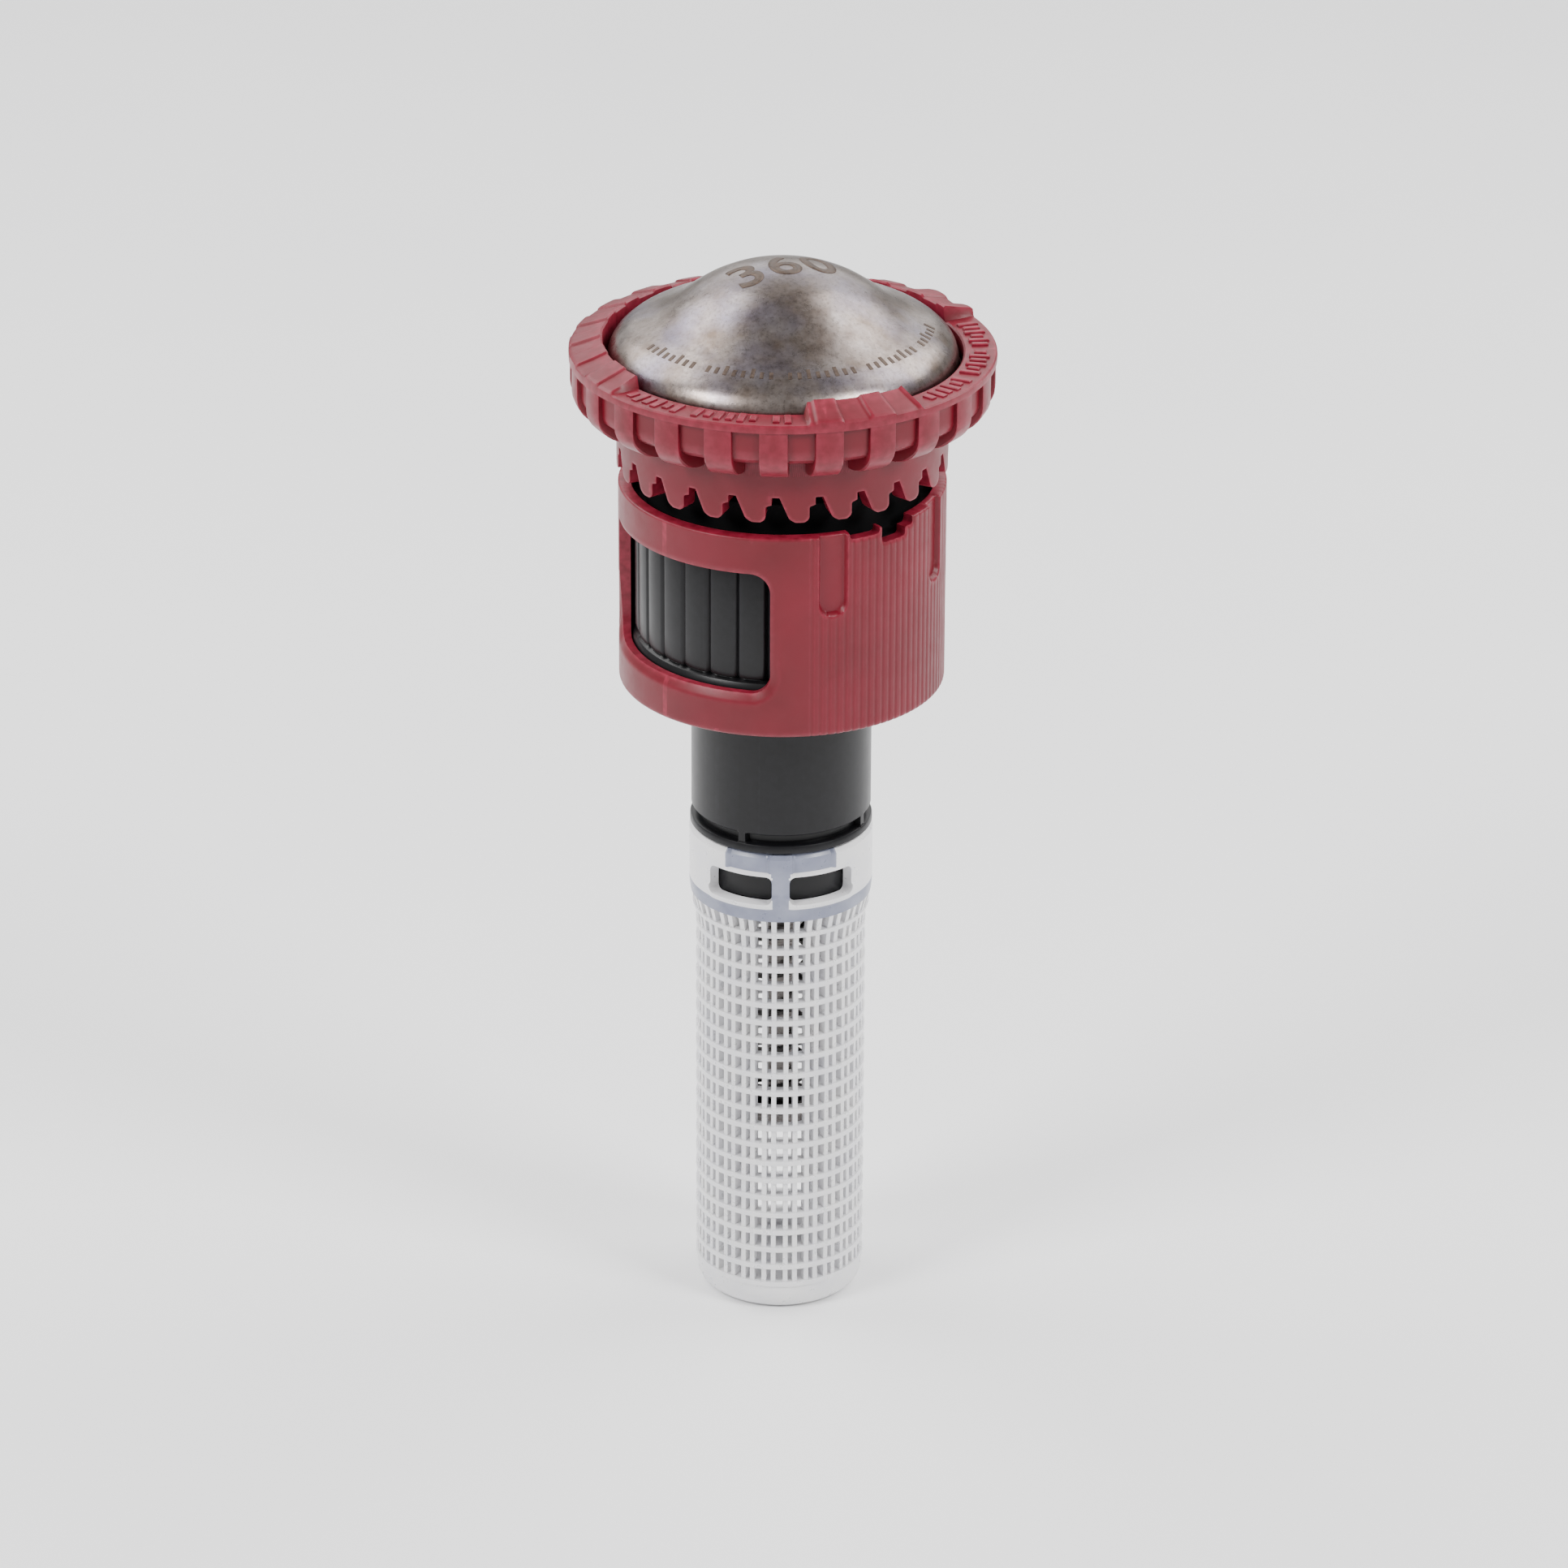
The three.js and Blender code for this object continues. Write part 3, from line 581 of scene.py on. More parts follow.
# Deflector: a ring that flares out of the skirt with 24 flat ribs across it, over a toothed skirt.
ring = {
    "fins": 24,
    "phase": -2.4,
    "lowTop": 0.9,  # how far the low parts of its top lie under the part's top
    "overhang": 3.4,
    "finWidth": 2.0,
    "finInset": 0.08,
    "finSection": ((-1, 0), (-1, 0.9), (-0.92, 1), (0, 1), (0.92, 1), (1, 0.9), (1, 0)),  # aside, proud
    "finBack": 3.9,  # half turn of a fin's share of the back wall
    "fluteInset": 0.42,
    "fluteSteps": 8,
    "flareDrop": 2.4,  # from the ring's low top to where the flare begins
    "finCurve": 2.42,
    "fluteCurve": 1.34,
    "curveSteps": (0, 8, 18, 29, 40, 50, 60, 70, 80),  # degrees up the flare's quarter turn
    "toe": 0.35,
    "lip": 0.6,
    "rim": 0.3,
    "grooveOuter": 13.0,
    "grooveInner": 12.05,
    "grooveDepth": 1.6,
    "raise": 0.95,
    "raiseOuter": 0.12,
    "raised": [(7, 40), (116, 308)],
    "slope": 0.35,  # half turn over which a raised part or a rib on it rises
    "ribHalf": 3.6,
    "ribLift": 0.16,
    "scallops": (116, 139),
    "scallopLift": 0.3,
}
finPitch = 360 / ring["fins"]
ringTop = cadRing["top"] - ring["lowTop"]
groove = ringTop - ring["grooveDepth"]
skirtRadius = cadRing["radius"] - ring["overhang"]
flareTop = ringTop - ring["flareDrop"]


# Radius of the flare at a height: a quarter of an ellipse that ends in the skirt.
def flareRadius(z, inset, curve):
    down = min(max((flareTop - z) / curve, 0), 1)
    return skirtRadius + (ring["overhang"] - inset) * math.sqrt(1 - down * down)


def makeFinRing():
    foot = flareTop - ring["finCurve"] - ring["toe"]
    rim = ringTop - ring["rim"]
    levels = [foot]
    levels += [flareTop - ring["finCurve"] * math.cos(math.radians(a)) for a in ring["curveSteps"]]
    levels += spaced(flareTop, ringTop - ring["lip"], 0.4) + [rim]
    back = [(ring["grooveOuter"], rim), (ring["grooveOuter"], groove), (ring["grooveInner"] + 0.3, groove),
            (skirtRadius - 0.3, foot)]
    half = ring["finWidth"] / 2
    backHalf = ring["finBack"]
    columns = []
    for i in range(ring["fins"]):
        centre = ring["phase"] + i * finPitch
        for side, proud in ring["finSection"]:
            column = []
            for z in levels:
                hollow = flareRadius(z, ring["fluteInset"], ring["fluteCurve"])
                r = hollow + (flareRadius(z, ring["finInset"], ring["finCurve"]) - hollow) * proud
                column.append(around(centre + math.degrees(math.asin(side * half / r)), r, z))
            column += [around(centre + side * backHalf, r, z) for r, z in back]
            columns.append(column)
        for k in range(1, ring["fluteSteps"]):
            share = k / ring["fluteSteps"]
            column = []
            for z in levels:
                r = flareRadius(z, ring["fluteInset"], ring["fluteCurve"])
                edge = math.degrees(math.asin(half / r))
                column.append(around(centre + edge + (finPitch - 2 * edge) * share, r, z))
            turn = centre + backHalf + (finPitch - 2 * backHalf) * share
            column += [around(turn, r, z) for r, z in back]
            columns.append(column)
    addPiece("deflector_fins", *wrap(columns), redAbs, "rotor", ["deflector"], "red_plastic", 28)


# 1 on the raised parts of the ring, 0 on the low ones.
def raisedShare(turn):
    share = 0.0
    for start, end in ring["raised"]:
        off = abs(turnBetween(turn, (start + end) / 2)) - (end - start) / 2
        share = max(share, 1 - smoothStep(-ring["slope"], ring["slope"], off))
    return share


# 1 on the ribs that cross the raised parts, 0 between them.
def ribShare(turn):
    off = abs(fromNearest(turn, ring["phase"], finPitch))
    return 1 - smoothStep(ring["ribHalf"] - ring["slope"], ring["ribHalf"] + ring["slope"], off)


def crownOutline(turn):
    up = raisedShare(turn)
    rib = ring["ribLift"] * ribShare(turn) * up
    start, end = ring["scallops"]
    wave = 0.0
    if start < turn < end:
        along = math.radians((turn - ring["phase"]) * 360 / finPitch)
        wave = ring["scallopLift"] * (0.5 + 0.5 * math.cos(along))
    outerTop = ringTop + (ring["raiseOuter"] + rib) * up + wave
    innerTop = ringTop + (ring["raise"] + rib) * up - 0.02
    edge = cadRing["radius"]
    bore = ring["grooveOuter"]
    foot = ringTop - ring["lip"]
    return [(edge - 0.9, foot), (edge, foot + 0.02), (edge + 0.02, outerTop - 0.32), (edge, outerTop - 0.1),
            (edge - 0.1, outerTop), (edge - 0.3, outerTop + 0.02 + (innerTop - outerTop) * 0.1),
            ((edge + bore) / 2, (outerTop + innerTop) / 2), (bore + 0.16, innerTop),
            (bore + 0.03, innerTop - 0.1), (bore, innerTop - 0.3), (bore, groove),
            (bore + 0.5, groove + 0.1)]


def makeCrown():
    made = turned(crownOutline, 720)
    addPiece("deflector_crown", *made, redAbs, "rotor", ["deflector"], "red_plastic", 32)


# Plain raised bars on the low parts of the ring, with every seventh left out.
bars = {
    "places": [(-48, 4), (47, 112)],
    "pitch": 3.3,
    "lengths": (1.5, 0.9, 1.5, 1.2),
    "half": 0.24,
    "steps": ((-0.1, 0.0), (0.1, 0.0), (0.16, 0.07)),  # up, in from the sides
}


def makeRingMarks():
    verts, faces = [], []
    middle = (cadRing["radius"] + ring["grooveOuter"]) / 2
    for start, end in bars["places"]:
        turn, count = start, 0
        while turn < end:
            count += 1
            if count % 7:
                half = bars["lengths"][count % 4] / 2
                out, side = directions(turn)
                first = len(verts)
                for up, inset in bars["steps"]:
                    for r, s in ((-1, -1), (1, -1), (1, 1), (-1, 1)):
                        p = out * (middle + r * (half - inset)) + side * s * (bars["half"] - inset)
                        verts.append((p.x, p.y, ringTop + up))
                for k in range(4):
                    n = (k + 1) % 4
                    faces.append((first + k, first + n, first + 4 + n, first + 4 + k))
                    faces.append((first + 4 + k, first + 4 + n, first + 8 + n, first + 8 + k))
                faces.append((first + 3, first + 2, first + 1, first))
                faces.append((first + 8, first + 9, first + 10, first + 11))
            turn += bars["pitch"]
    addPiece("ring_marks", verts, faces, redAbs, "rotor")


# Skirt: teeth with gaps that have a step on the left, a slant on the right and a flared mouth.
skirt = {
    "wall": 1.35,
    "gapHeight": 1.9,
    "gapFoot": (-0.7, 1.12),  # left and right of its middle
    "gapTop": (-0.26, 0.3),
    "step": (0.6, 0.72),  # where the left side steps in, as shares of the height
    "mouth": 0.35,
    "mouthShare": 0.22,
    "cornerRound": 0.1,
    "fineTo": 2.1,
    "topDrop": 4.2,  # from the ring's low top to the skirt's top, inside the ring
}


def toothGap(turn, z):
    up = z - cadRing["foot"]
    off = math.radians(fromNearest(turn, ring["phase"], finPitch)) * skirtRadius
    share = up / skirt["gapHeight"]
    (footLeft, footRight), (topLeft, topRight) = skirt["gapFoot"], skirt["gapTop"]
    left = footLeft + (topLeft - footLeft) * smoothStep(*skirt["step"], share)
    right = footRight + (topRight - footRight) * min(max(share, 0), 1)
    flare = skirt["mouth"] * max(0, 1 - share / skirt["mouthShare"]) ** 2
    return max(left - flare - off, off - right - flare, up - skirt["gapHeight"])


def skirtOuter(turn, z):
    rim = skirt["cornerRound"]
    near = min(max(toothGap(turn, z), 0), rim)
    low = min(max(z - cadRing["foot"], 0), rim)
    return skirtRadius - rim * 0.6 * ((1 - near / rim) ** 2 + (1 - low / rim) ** 2) / 2


def skirtInner(turn, z):
    return skirtRadius - skirt["wall"]


def makeSkirt():
    foot = cadRing["foot"]
    fineTop = foot + skirt["fineTo"]
    levels = spaced(foot, fineTop, 0.1) + spaced(fineTop, ringTop - skirt["topDrop"], 0.5)[1:]
    made = shell(spaced(0, 360, 0.5)[:-1], levels, skirtOuter, skirtInner, toothGap, skirtRadius)
    addPiece("deflector_skirt", *made, redAbs, "rotor", ["deflector"], "red_plastic", 45)


# The middle of the deflector: hub, floor, brake chamber and the wall inside the cap's groove.
core = {"hub": 3.4, "floor": 1.3, "wallFoot": 6.5, "wallTop": 1.9, "rim": 0.4, "ledge": 0.8, "room": 0.1}


def makeDeflectorCore():
    bush, lid = reach("lower_bush"), reach("brake_cover")
    bore = bush["radius"] + core["room"]
    hub, hubFoot = core["hub"], bush["foot"]
    floor = hubFoot + core["floor"]
    outer = ring["grooveOuter"] - 0.1
    inner = ring["grooveInner"]
    rim = ringTop - core["rim"]
    chamber = lid["radius"] + core["room"]
    chamberTop = lid["foot"] - core["room"]
    ledge = lid["radius"] - core["ledge"]
    outline = [(bore, hubFoot), (hub - 0.2, hubFoot), (hub, hubFoot + 0.2), (hub, floor),
               (skirtRadius - 0.6, floor), (skirtRadius - 0.3, cadRing["foot"] + core["wallFoot"]),
               (outer, ringTop - core["wallTop"]), (outer, groove), (inner, groove), (inner, rim - 0.1),
               (inner - 0.1, rim), (chamber, rim), (chamber, chamberTop), (ledge, chamberTop),
               (ledge, bush["top"]), (bore, bush["top"])]
    addPiece("deflector_core", *turned(outline, 96), redAbs, "rotor", ["deflector"], "red_plastic")


# Sleeve: two windows, a serrated grip beside each, slots, and a worn notch in the rim.
sleeve = {
    "wall": 0.9,
    "floor": 1.2,
    "windows": (-47, 133),
    "windowHalfTurn": 43,
    "sill": 3.3,
    "band": 2.8,
    "corner": 1.5,
    "windowRound": 0.08,
    "windowRoundWide": 0.22,
    "lipWide": 0.75,
    "lipDeep": 0.3,
    "gripFrom": 8.5,
    "gripTo": 89,
    "gripFade": 0.6,
    "gripPitch": 3.0,
    "gripDepth": 0.06,
    "grooveShare": 0.26,  # half of a groove, as a share of the pitch
    "slotMiddles": (18, 68),
    "slotHalfTurn": 5.0,
    "slotHeight": 6.1,
    "slotDepth": 0.42,
    "slotCorner": 0.9,
    "slotSide": (-0.14, 0.06),  # the side slopes from here to here, across the slot's outline
    "footRound": 0.35,
    "rimRound": 0.16,
    "firstColumn": 0.09,
    "notches": ((30.0, 6.0, 0.45), (42.5, 5.5, 1.25), (49.0, 3.0, 0.6)),  # middle, half turn, depth
    "notchCorner": 0.3,
}
halves = (0, 180)
windowMiddle = (cadSleeve["foot"] + sleeve["sill"] + cadSleeve["top"] - sleeve["band"]) / 2
windowHalf = (cadSleeve["top"] - sleeve["band"] - cadSleeve["foot"] - sleeve["sill"]) / 2
baseBore = cadBase["radius"] + 0.15


def sleeveGap(turn, z):
    radius, top = cadSleeve["radius"], cadSleeve["top"]
    nearest = min(roundedBox(turn, z, middle, windowMiddle, sleeve["windowHalfTurn"], windowHalf,
                             sleeve["corner"], radius) for middle in sleeve["windows"])
    for side in halves:
        for middle, halfTurn, depth in sleeve["notches"]:
            nearest = min(nearest, roundedBox(turn, z, middle + side, top + 1, halfTurn, depth + 1,
                                              sleeve["notchCorner"], radius))
    return nearest


# How far a rounded edge has fallen back, at a distance from it.
def roundedEdge(away, size):
    t = 1 - min(max(away / size, 0), 1)
    return size * (1 - math.sqrt(max(1 - t * t, 0)))


def sleeveOuter(turn, z):
    foot, top = cadSleeve["foot"], cadSleeve["top"]
    r = cadSleeve["radius"]
    near = max(sleeveGap(turn, z), 0)
    if z < windowMiddle:
        # the sunk lip fades out up the window's sides
        fade = smoothStep(windowMiddle - foot, 0.5, z - foot - sleeve["sill"] + 2)
        r -= sleeve["lipDeep"] * (1 - smoothStep(0, sleeve["lipWide"], near)) * fade
    r -= sleeve["windowRound"] * (1 - smoothStep(0, sleeve["windowRoundWide"], near))
    r -= roundedEdge(z - foot, sleeve["footRound"])
    r -= roundedEdge(top - z, sleeve["rimRound"])
    for side in halves:
        along = (turn - side) % 360
        inGrip = smoothStep(sleeve["gripFrom"] - sleeve["gripFade"], sleeve["gripFrom"], along)
        inGrip *= 1 - smoothStep(sleeve["gripTo"] - sleeve["gripFade"], sleeve["gripTo"], along)
        for middle in sleeve["slotMiddles"]:
            nearSlot = roundedBox(turn, z, middle + side, top, sleeve["slotHalfTurn"], sleeve["slotHeight"],
                                  sleeve["slotCorner"], cadSleeve["radius"])
            r -= sleeve["slotDepth"] * (1 - smoothStep(*sleeve["slotSide"], nearSlot))
            inGrip *= smoothStep(0.0, 0.5, nearSlot)
        phase = (along / sleeve["gripPitch"]) % 1
        cut = max(0.0, 1 - abs(phase - 0.5) / sleeve["grooveShare"])
        r -= sleeve["gripDepth"] * cut * inGrip
    return r


def sleeveInner(turn, z):
    if z < cadSleeve["foot"] + sleeve["floor"] - 0.01:
        return baseBore
    return cadSleeve["radius"] - sleeve["wall"]


def makeSleeve():
    foot, top = cadSleeve["foot"], cadSleeve["top"]
    floor = foot + sleeve["floor"]
    levels = [foot + up for up in (0, 0.04, 0.1, 0.18, 0.28)]
    levels += spaced(foot + 0.4, floor - 0.02, 0.2) + spaced(floor, top - 0.3, 0.16)
    levels += [top - down for down in (0.2, 0.12, 0.06, 0)]
    # the columns start a little aside, so that none of them mirror each other about 45 degrees
    start = sleeve["firstColumn"]
    turns = spaced(start, start + 360, 0.375)[:-1]
    made = shell(turns, levels, sleeveOuter, sleeveInner, sleeveGap, cadSleeve["radius"])
    addPiece("sleeve_shell", *made, redAbs, "nozzle", ["outer_sleeve"], "red_plastic", 50)


# Adjusting collar: flat ribs with fine valleys, on a rounded ledge.
collar = {
    "ribs": 30,
    "phase": -5.6,
    "valley": 0.22,
    "valleyShare": 0.2,
    "crown": 0.1,
    "ledge": 2.6,
    "room": 0.3,
}


def collarOutline(turn):
    pitch = 360 / collar["ribs"]
    # 0 in a valley, 1 in the middle of a rib
    off = abs(fromNearest(turn, collar["phase"], pitch)) / (pitch / 2)
    valley = collar["valley"] * max(0.0, 1 - off / collar["valleyShare"]) ** 1.4
    body = cadSleeve["radius"] - sleeve["wall"] - collar["room"]
    rib = body - valley - collar["crown"] * (1 - off) ** 2
    foot, top, wide = cadCollar["foot"], cadCollar["top"], cadCollar["radius"]
    ledge = foot + collar["ledge"]
    return [(baseBore, foot), (wide - 0.2, foot), (wide, foot + 0.2), (wide, ledge - 0.7),
            (wide - 0.05, ledge - 0.45), (wide - 0.2, ledge - 0.2), (wide - 0.45, ledge - 0.05),
            (rib - 0.25, ledge), (rib - 0.1, ledge + 0.12), (rib, ledge + 0.5), (rib, top - 0.5),
            (rib - 0.15, top), (body - 1, top), (body - 1, top - 2), (baseBore, top - 2.4),
            (baseBore, foot + 3)]


def makeCollar():
    made = turned(collarOutline, 720)
    addPiece("collar_ribs", *made, blackNylon, "collar", ["adjusting_collar"], "black_plastic", 24)


# Inlet tube: a plain barrel over a flange, with four slots just above the flange.
neck = {
    "wall": 1.75,
    "flange": 0.75,
    "flangeProud": 0.1,
    "spigotInset": 0.75,
    "slotTop": 1.5,
    "slotDepth": 0.55,
    "slotPitch": 90,
    "slotTurn": 85,
    "slotStart": -23,
    "slotEnd": 0.7,  # the turn over which a slot's end slopes
}
neckBody = cadNeck["radius"] - neck["flangeProud"]
spigotRadius = neckBody - neck["spigotInset"]


def neckOutline(turn):
    wide, lower, top = cadNeck["radius"], cadNeck["foot"], cadNeck["top"]
    foot = cadFilter["top"] + 0.1
    body, spigot = neckBody, spigotRadius
    bore = body - neck["wall"]
    along = (turn - neck["slotStart"]) % neck["slotPitch"]
    slot = neck["slotDepth"] * smoothStep(0, neck["slotEnd"], along)
    slot *= 1 - smoothStep(neck["slotTurn"] - neck["slotEnd"], neck["slotTurn"], along)
    flangeTop = foot + neck["flange"]
    slotTop = foot + neck["slotTop"]
    return [(bore, lower), (spigot - 0.15, lower), (spigot, lower + 0.15), (spigot, foot),
            (wide - 0.15, foot), (wide, foot + 0.15), (wide, flangeTop - 0.22),
            (wide - 0.07, flangeTop - 0.08), (wide - 0.22 * min(slot / 0.5, 1) - 0.03, flangeTop),
            (body - slot, flangeTop + 0.02), (body - slot, slotTop - 0.08), (body - 0.12 * slot, slotTop),
            (body, slotTop + 0.08), (body, slotTop + 0.2), (body, top - 0.3), (body - 0.3, top), (bore, top)]


def makeNeck():
    made = turned(neckOutline, 540)
    addPiece("inlet_barrel", *made, blackNylon, "nozzle", ["inlet_tube"], "black_plastic", 35)


# Filter basket: thin walls with rows of small openings, and rings that stand a little proud of them.
basket = {
    "wall": 0.75,
    "floor": 0.9,
    "footRound": 1.2,
    "columns": 48,
    "wide": 0.56,
    "narrow": 0.36,
    "rows": 20,
    "rowPitch": 1.46,
    "rowTop": 31.3,
    "ring": 0.38,
    "ringProud": 0.13,
    "tallTop": 32.75,
    "taper": 0.6,
    "taperFoot": 30.3,
    "collarFoot": 33.5,
    "bandTop": 33.8,
    "windowFoot": 34.2,
    "windowTop": 36.4,
    "windowFrom": 5.5,
    "windowTo": 50,
    "windowCorner": 0.5,
    "sillProud": 0.16,
    "panelDeep": 0.22,
    "panelFrom": (7, 8.5),
    "panelTo": (34, 36),
    "rimFall": 0.25,
    "rimHeight": 0.3,
    "spigotRoom": 0.1,
}
meshRadius = cadFilter["radius"] - basket["taper"]


def basketBody(z):
    share = smoothStep(basket["taperFoot"], basket["collarFoot"], z)
    return meshRadius + (cadFilter["radius"] - meshRadius) * share


def makeFilterMesh():
    pitch = 360 / basket["columns"]
    turns, isOpen = [], []
    for i in range(basket["columns"]):
        width = basket["narrow"] if i % 2 else basket["wide"]
        half = math.degrees(width / 2 / meshRadius)
        turns += [i * pitch - half, i * pitch + half, i * pitch + (pitch + half) / 2]
        isOpen += [True, False, False]
    z = basket["rowTop"] - basket["rows"] * basket["rowPitch"]
    levels, kinds = [basket["footRound"]], ["wall"]
    for row in range(basket["rows"]):
        levels += [z, z + basket["ring"]]
        kinds += ["ring", "cells"]
        z += basket["rowPitch"]
    levels += [z, z + basket["ring"], basket["tallTop"], basket["collarFoot"]]
    kinds += ["ring", "cells", "wall"]
    n, m = len(turns), len(levels)
    verts, faces = [], []

    def put(turn, radius, level):
        verts.append(around(turn, radius, level))
        return len(verts) - 1

    # each level gets a plain and a proud outer point and an inner one
    grid = [[(put(turn, basketBody(level), level),
              put(turn, basketBody(level) + basket["ringProud"], level),
              put(turn, basketBody(level) - basket["wall"], level)) for level in levels]
            for turn in turns]

    def solid(i, j):
        return 0 <= j < m - 1 and not (kinds[j] == "cells" and isOpen[i % n])

    for i in range(n):
        e = (i + 1) % n
        for j in range(m - 1):
            if not solid(i, j):
                continue
            skin = 1 if kinds[j] == "ring" else 0
            a, b, c, d = grid[i][j], grid[e][j], grid[e][j + 1], grid[i][j + 1]
            faces.append((a[skin], b[skin], c[skin], d[skin]))
            faces.append((d[2], c[2], b[2], a[2]))
            for lower, upper, beyond in ((a, b, j - 1), (d, c, j + 1)):
                if not solid(i, beyond):
                    if skin:
                        faces.append((lower[1], lower[0], upper[0], upper[1]))
                    faces.append((lower[0], lower[2], upper[2], upper[0]))
                elif skin and kinds[beyond] != "ring":
                    faces.append((lower[1], lower[0], upper[0], upper[1]))
            if not solid(i - 1, j):
                faces.append((a[0], d[0], d[2], a[2]))
            if not solid(i + 1, j):
                faces.append((b[0], b[2], c[2], c[0]))
    piece = addPiece("filter_mesh", verts, faces, milkyPlastic, "filter", ["filter_basket"],
                     "clear_plastic", 30)
    piece.data.materials.append(shadedClearPlastic)
    # Faces above the top row of cells take the blue-grey painted shade of the dark parts behind them.
    for face in piece.data.polygons:
        face.material_index = int(face.center.z / mm > basket["tallTop"])


# The openings in the collar over the mesh, in two pairs.
def windowGap(turn, z):
    half = (basket["windowTo"] - basket["windowFrom"]) / 2
    middle = (basket["windowTo"] + basket["windowFrom"]) / 2
    level = (basket["windowFoot"] + basket["windowTop"]) / 2
    tall = (basket["windowTop"] - basket["windowFoot"]) / 2
    return min(roundedBox(turn, z, centre, level, half, tall, basket["windowCorner"], cadFilter["radius"])
               for centre in (middle, -middle, 180 + middle, 180 - middle))


def collarOuter(turn, z):
    near = windowGap(turn, z)
    aside = min(abs(turnBetween(turn, 0)), abs(turnBetween(turn, 180)))
    r = cadFilter["radius"]
    if z < basket["windowFoot"] + 0.6:
        rise = smoothStep(basket["collarFoot"], basket["windowFoot"] - 0.3, z)
        r += basket["sillProud"] * (1 - smoothStep(0.25, 0.6, near)) * rise
    if z > basket["windowTop"] + 0.15:
        r -= basket["panelDeep"] * smoothStep(*basket["panelFrom"], aside) * (
            1 - smoothStep(*basket["panelTo"], aside))
    return r - basket["rimFall"] * (1 - smoothStep(0, basket["rimHeight"], cadFilter["top"] - z))


def collarInner(turn, z):
    return spigotRadius + basket["spigotRoom"]


# The collar is thick; its bars between the windows, its upper panels and its foot take the blue-grey painted
# shade of the dark parts behind them.
def makeFilterCollar():
    radius = cadFilter["radius"]
    levels = spaced(basket["collarFoot"], cadFilter["top"], 0.16)
    made = shell(spaced(0, 360, 1.0)[:-1], levels, collarOuter, collarInner, windowGap, radius)
    piece = addPiece("filter_collar", *made, milkyPlastic, "filter", ["filter_basket"], "clear_plastic", 35)
    piece.data.materials.append(shadedClearPlastic)
    barHalf = radius * math.sin(math.radians(basket["windowFrom"]))
    for face in piece.data.polygons:
        x, y, z = face.center / mm
        outside = math.hypot(x, y) > radius - 0.6
        inPanel = outside and z > basket["windowTop"] + 0.3 and abs(x) < abs(y) * 0.75
        if abs(x) < barHalf or inPanel or z < basket["bandTop"]:
            face.material_index = 1


def makeFilterFoot():
    corner, floor = basket["footRound"], basket["floor"]
    inside = meshRadius - basket["wall"]
    outline = [(0, 0)]
    for k in range(7):
        a = math.radians(15 * k)
        outline.append((meshRadius - corner * (1 - math.sin(a)), corner * (1 - math.cos(a))))
    outline += [(inside, corner), (inside - 0.3, floor), (0, floor)]
    addPiece("filter_foot", *turned(outline, 96), milkyPlastic, "filter", ["filter_basket"], "clear_plastic")


# Return spring: round wire, closed end turns.
spring = {"wire": 0.25, "turns": 15, "sides": 10, "stepsPerTurn": 28, "closed": 1.2}


def makeSpring():
    low = cadSpring["foot"] + spring["wire"]
    high = cadSpring["top"] - spring["wire"]
    middle = cadSpring["radius"] - spring["wire"]
    steps = spring["turns"] * spring["stepsPerTurn"]
    verts, faces = [], []
    closedRise = 2 * spring["wire"] * spring["closed"]
    for i in range(steps + 1):
        turn = spring["turns"] * i / steps
        fromEnd = min(turn, spring["turns"] - turn)
        if fromEnd < spring["closed"]:
            z = 2 * spring["wire"] * fromEnd
        else:
            z = closedRise + (fromEnd - spring["closed"]) * (
                (high - low) / 2 - closedRise) / (spring["turns"] / 2 - spring["closed"])
        z = low + z if turn < spring["turns"] / 2 else high - z
        a = 2 * math.pi * turn
        for k in range(spring["sides"]):
            b = 2 * math.pi * k / spring["sides"]
            r = middle + spring["wire"] * math.cos(b)
            verts.append((r * math.cos(a), r * math.sin(a), z + spring["wire"] * math.sin(b)))
    sides = spring["sides"]
    for i in range(steps):
        for k in range(sides):
            n = (k + 1) % sides
            faces.append((i * sides + k, i * sides + n, (i + 1) * sides + n, (i + 1) * sides + k))
    faces.append(tuple(range(sides))[::-1])
    faces.append(tuple(steps * sides + k for k in range(sides)))
    piece = addPiece("spring_coil", verts, faces, springWireSteel, "nozzle", (), None, 60)
    piece.parent = None
    del piece["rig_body"]
    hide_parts("return_spring")
    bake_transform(piece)


# Nozzle plate: a deck inside the sleeve's rim and a round tower on it, left plain where the jets pass.
plate = {"bore": 6.5, "deck": 1.2, "tower": 9.9, "shaftBore": 1.8}


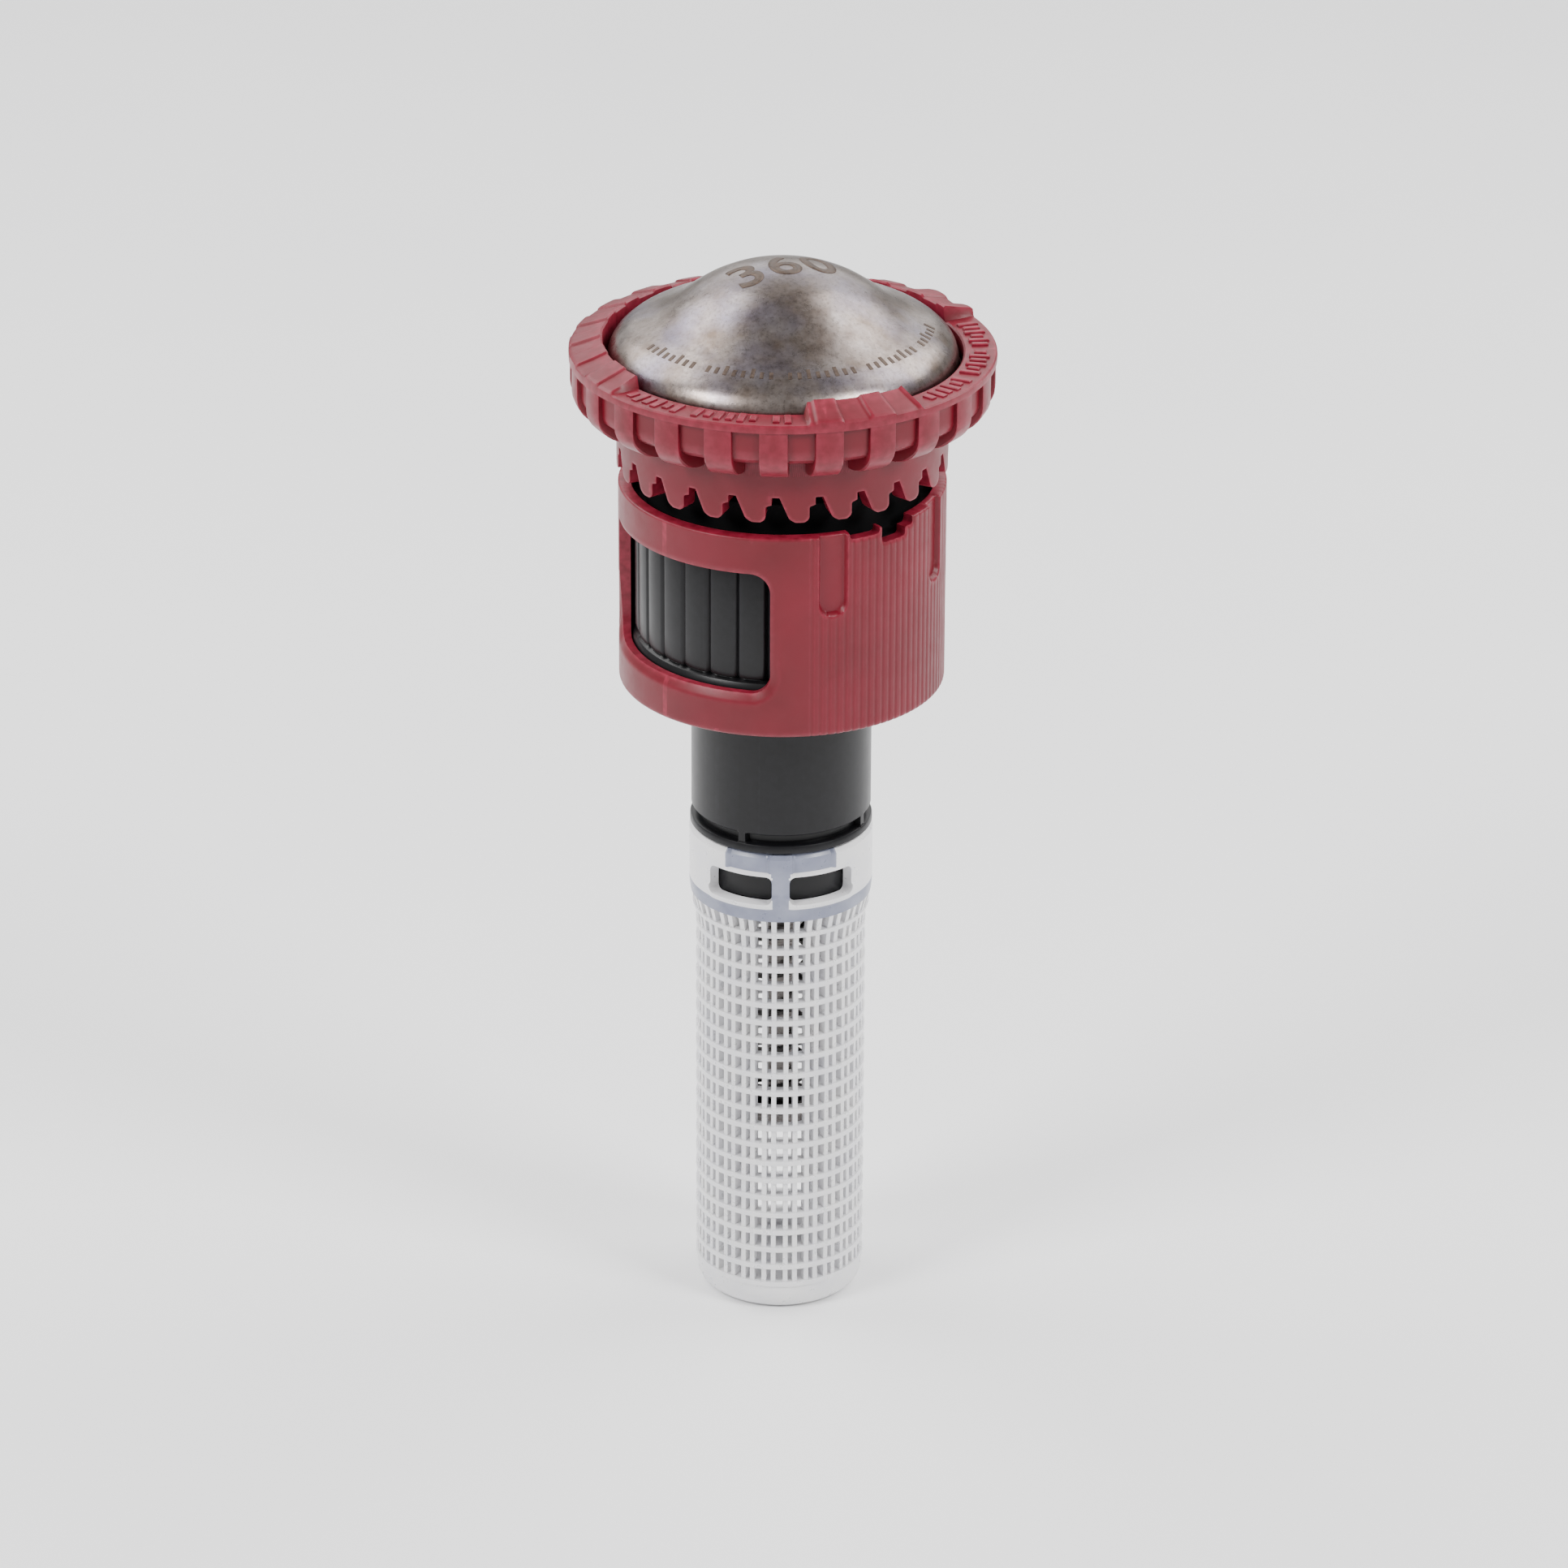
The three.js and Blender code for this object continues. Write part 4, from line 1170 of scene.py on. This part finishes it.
def makePlate():
    foot, top, wide = cadPlate["foot"], cadPlate["top"], cadPlate["radius"]
    deck = foot + plate["deck"]
    tower, bore = plate["tower"], plate["shaftBore"]
    outline = [(plate["bore"], foot), (wide, foot), (wide, deck - 0.1), (wide - 0.1, deck),
               (tower + 0.4, deck), (tower + 0.1, deck + 0.1), (tower, deck + 0.4), (tower, top - 0.5),
               (tower - 0.5, top), (bore + 0.6, top), (bore + 0.1, top - 0.25), (bore, top - 0.5),
               (bore, top - 1.5)]
    # The deck takes the darker nylon: painted shade deep in the nozzle.
    addPiece("nozzle_deck", *turned(outline, 120), shadedBlackNylon, "nozzle", ["nozzle_plate"], "black_plastic")


finishes = {
    "nozzle_base": blackNylon, "seat_gasket": blackRubber, "lower_o_ring": blackRubber,
    "upper_o_ring": blackRubber, "throttle_nut": greyAcetal, "shaft": turnedStainless,
    "friction_disc": greyAcetal, "shaft_clip": springWireSteel, "spring_retainer": turnedStainless,
    "lock_nut": turnedStainless, "lower_bush": greyAcetal, "shaft_seal": blackRubber,
    "thrust_washer": turnedStainless, "brake_pad": blackRubber, "brake_cover": greyAcetal,
}


def finishCadNodes():
    for name, material in finishes.items():
        for slotPlace in frame["nodes"][name].material_slots:
            slotPlace.material = material


# A pale sheet of paper: a faint fibre shows in its tone.
paper = {"half": 4000, "tones": ("#f6f6f7", "#f9f9f9")}


def makeFloor():
    half = paper["half"] * mm
    low, high = paper["tones"]
    mesh = bpy.data.meshes.new("floor")
    corners = [(-half, -half, 0), (half, -half, 0), (half, half, 0), (-half, half, 0)]
    mesh.from_pydata(corners, [], [(0, 1, 2, 3)])
    material, shader, place = newMaterial("white studio paper", {"Roughness": 0.9})
    fibre = noise(material, place, 0.02, 2.0)
    connect(material, ramp(material, fibre, [(0.3, low), (0.7, high)]), shader, "Base Color")
    mesh.materials.append(material)
    floor = bpy.data.objects.new("floor", mesh)
    bpy.context.scene.collection.objects.link(floor)


addCamera()
addLamps()
makeFloor()
print("stage made")
makeCap()
makeCapDigits()
makeCapTicks()
makeFinRing()
makeCrown()
makeRingMarks()
makeSkirt()
makeDeflectorCore()
print("head made")
makeSleeve()
makeCollar()
makeNeck()
makePlate()
print("nozzle made")
makeFilterMesh()
makeFilterCollar()
makeFilterFoot()
makeSpring()
finishCadNodes()
print("filter, spring and inner pieces made")
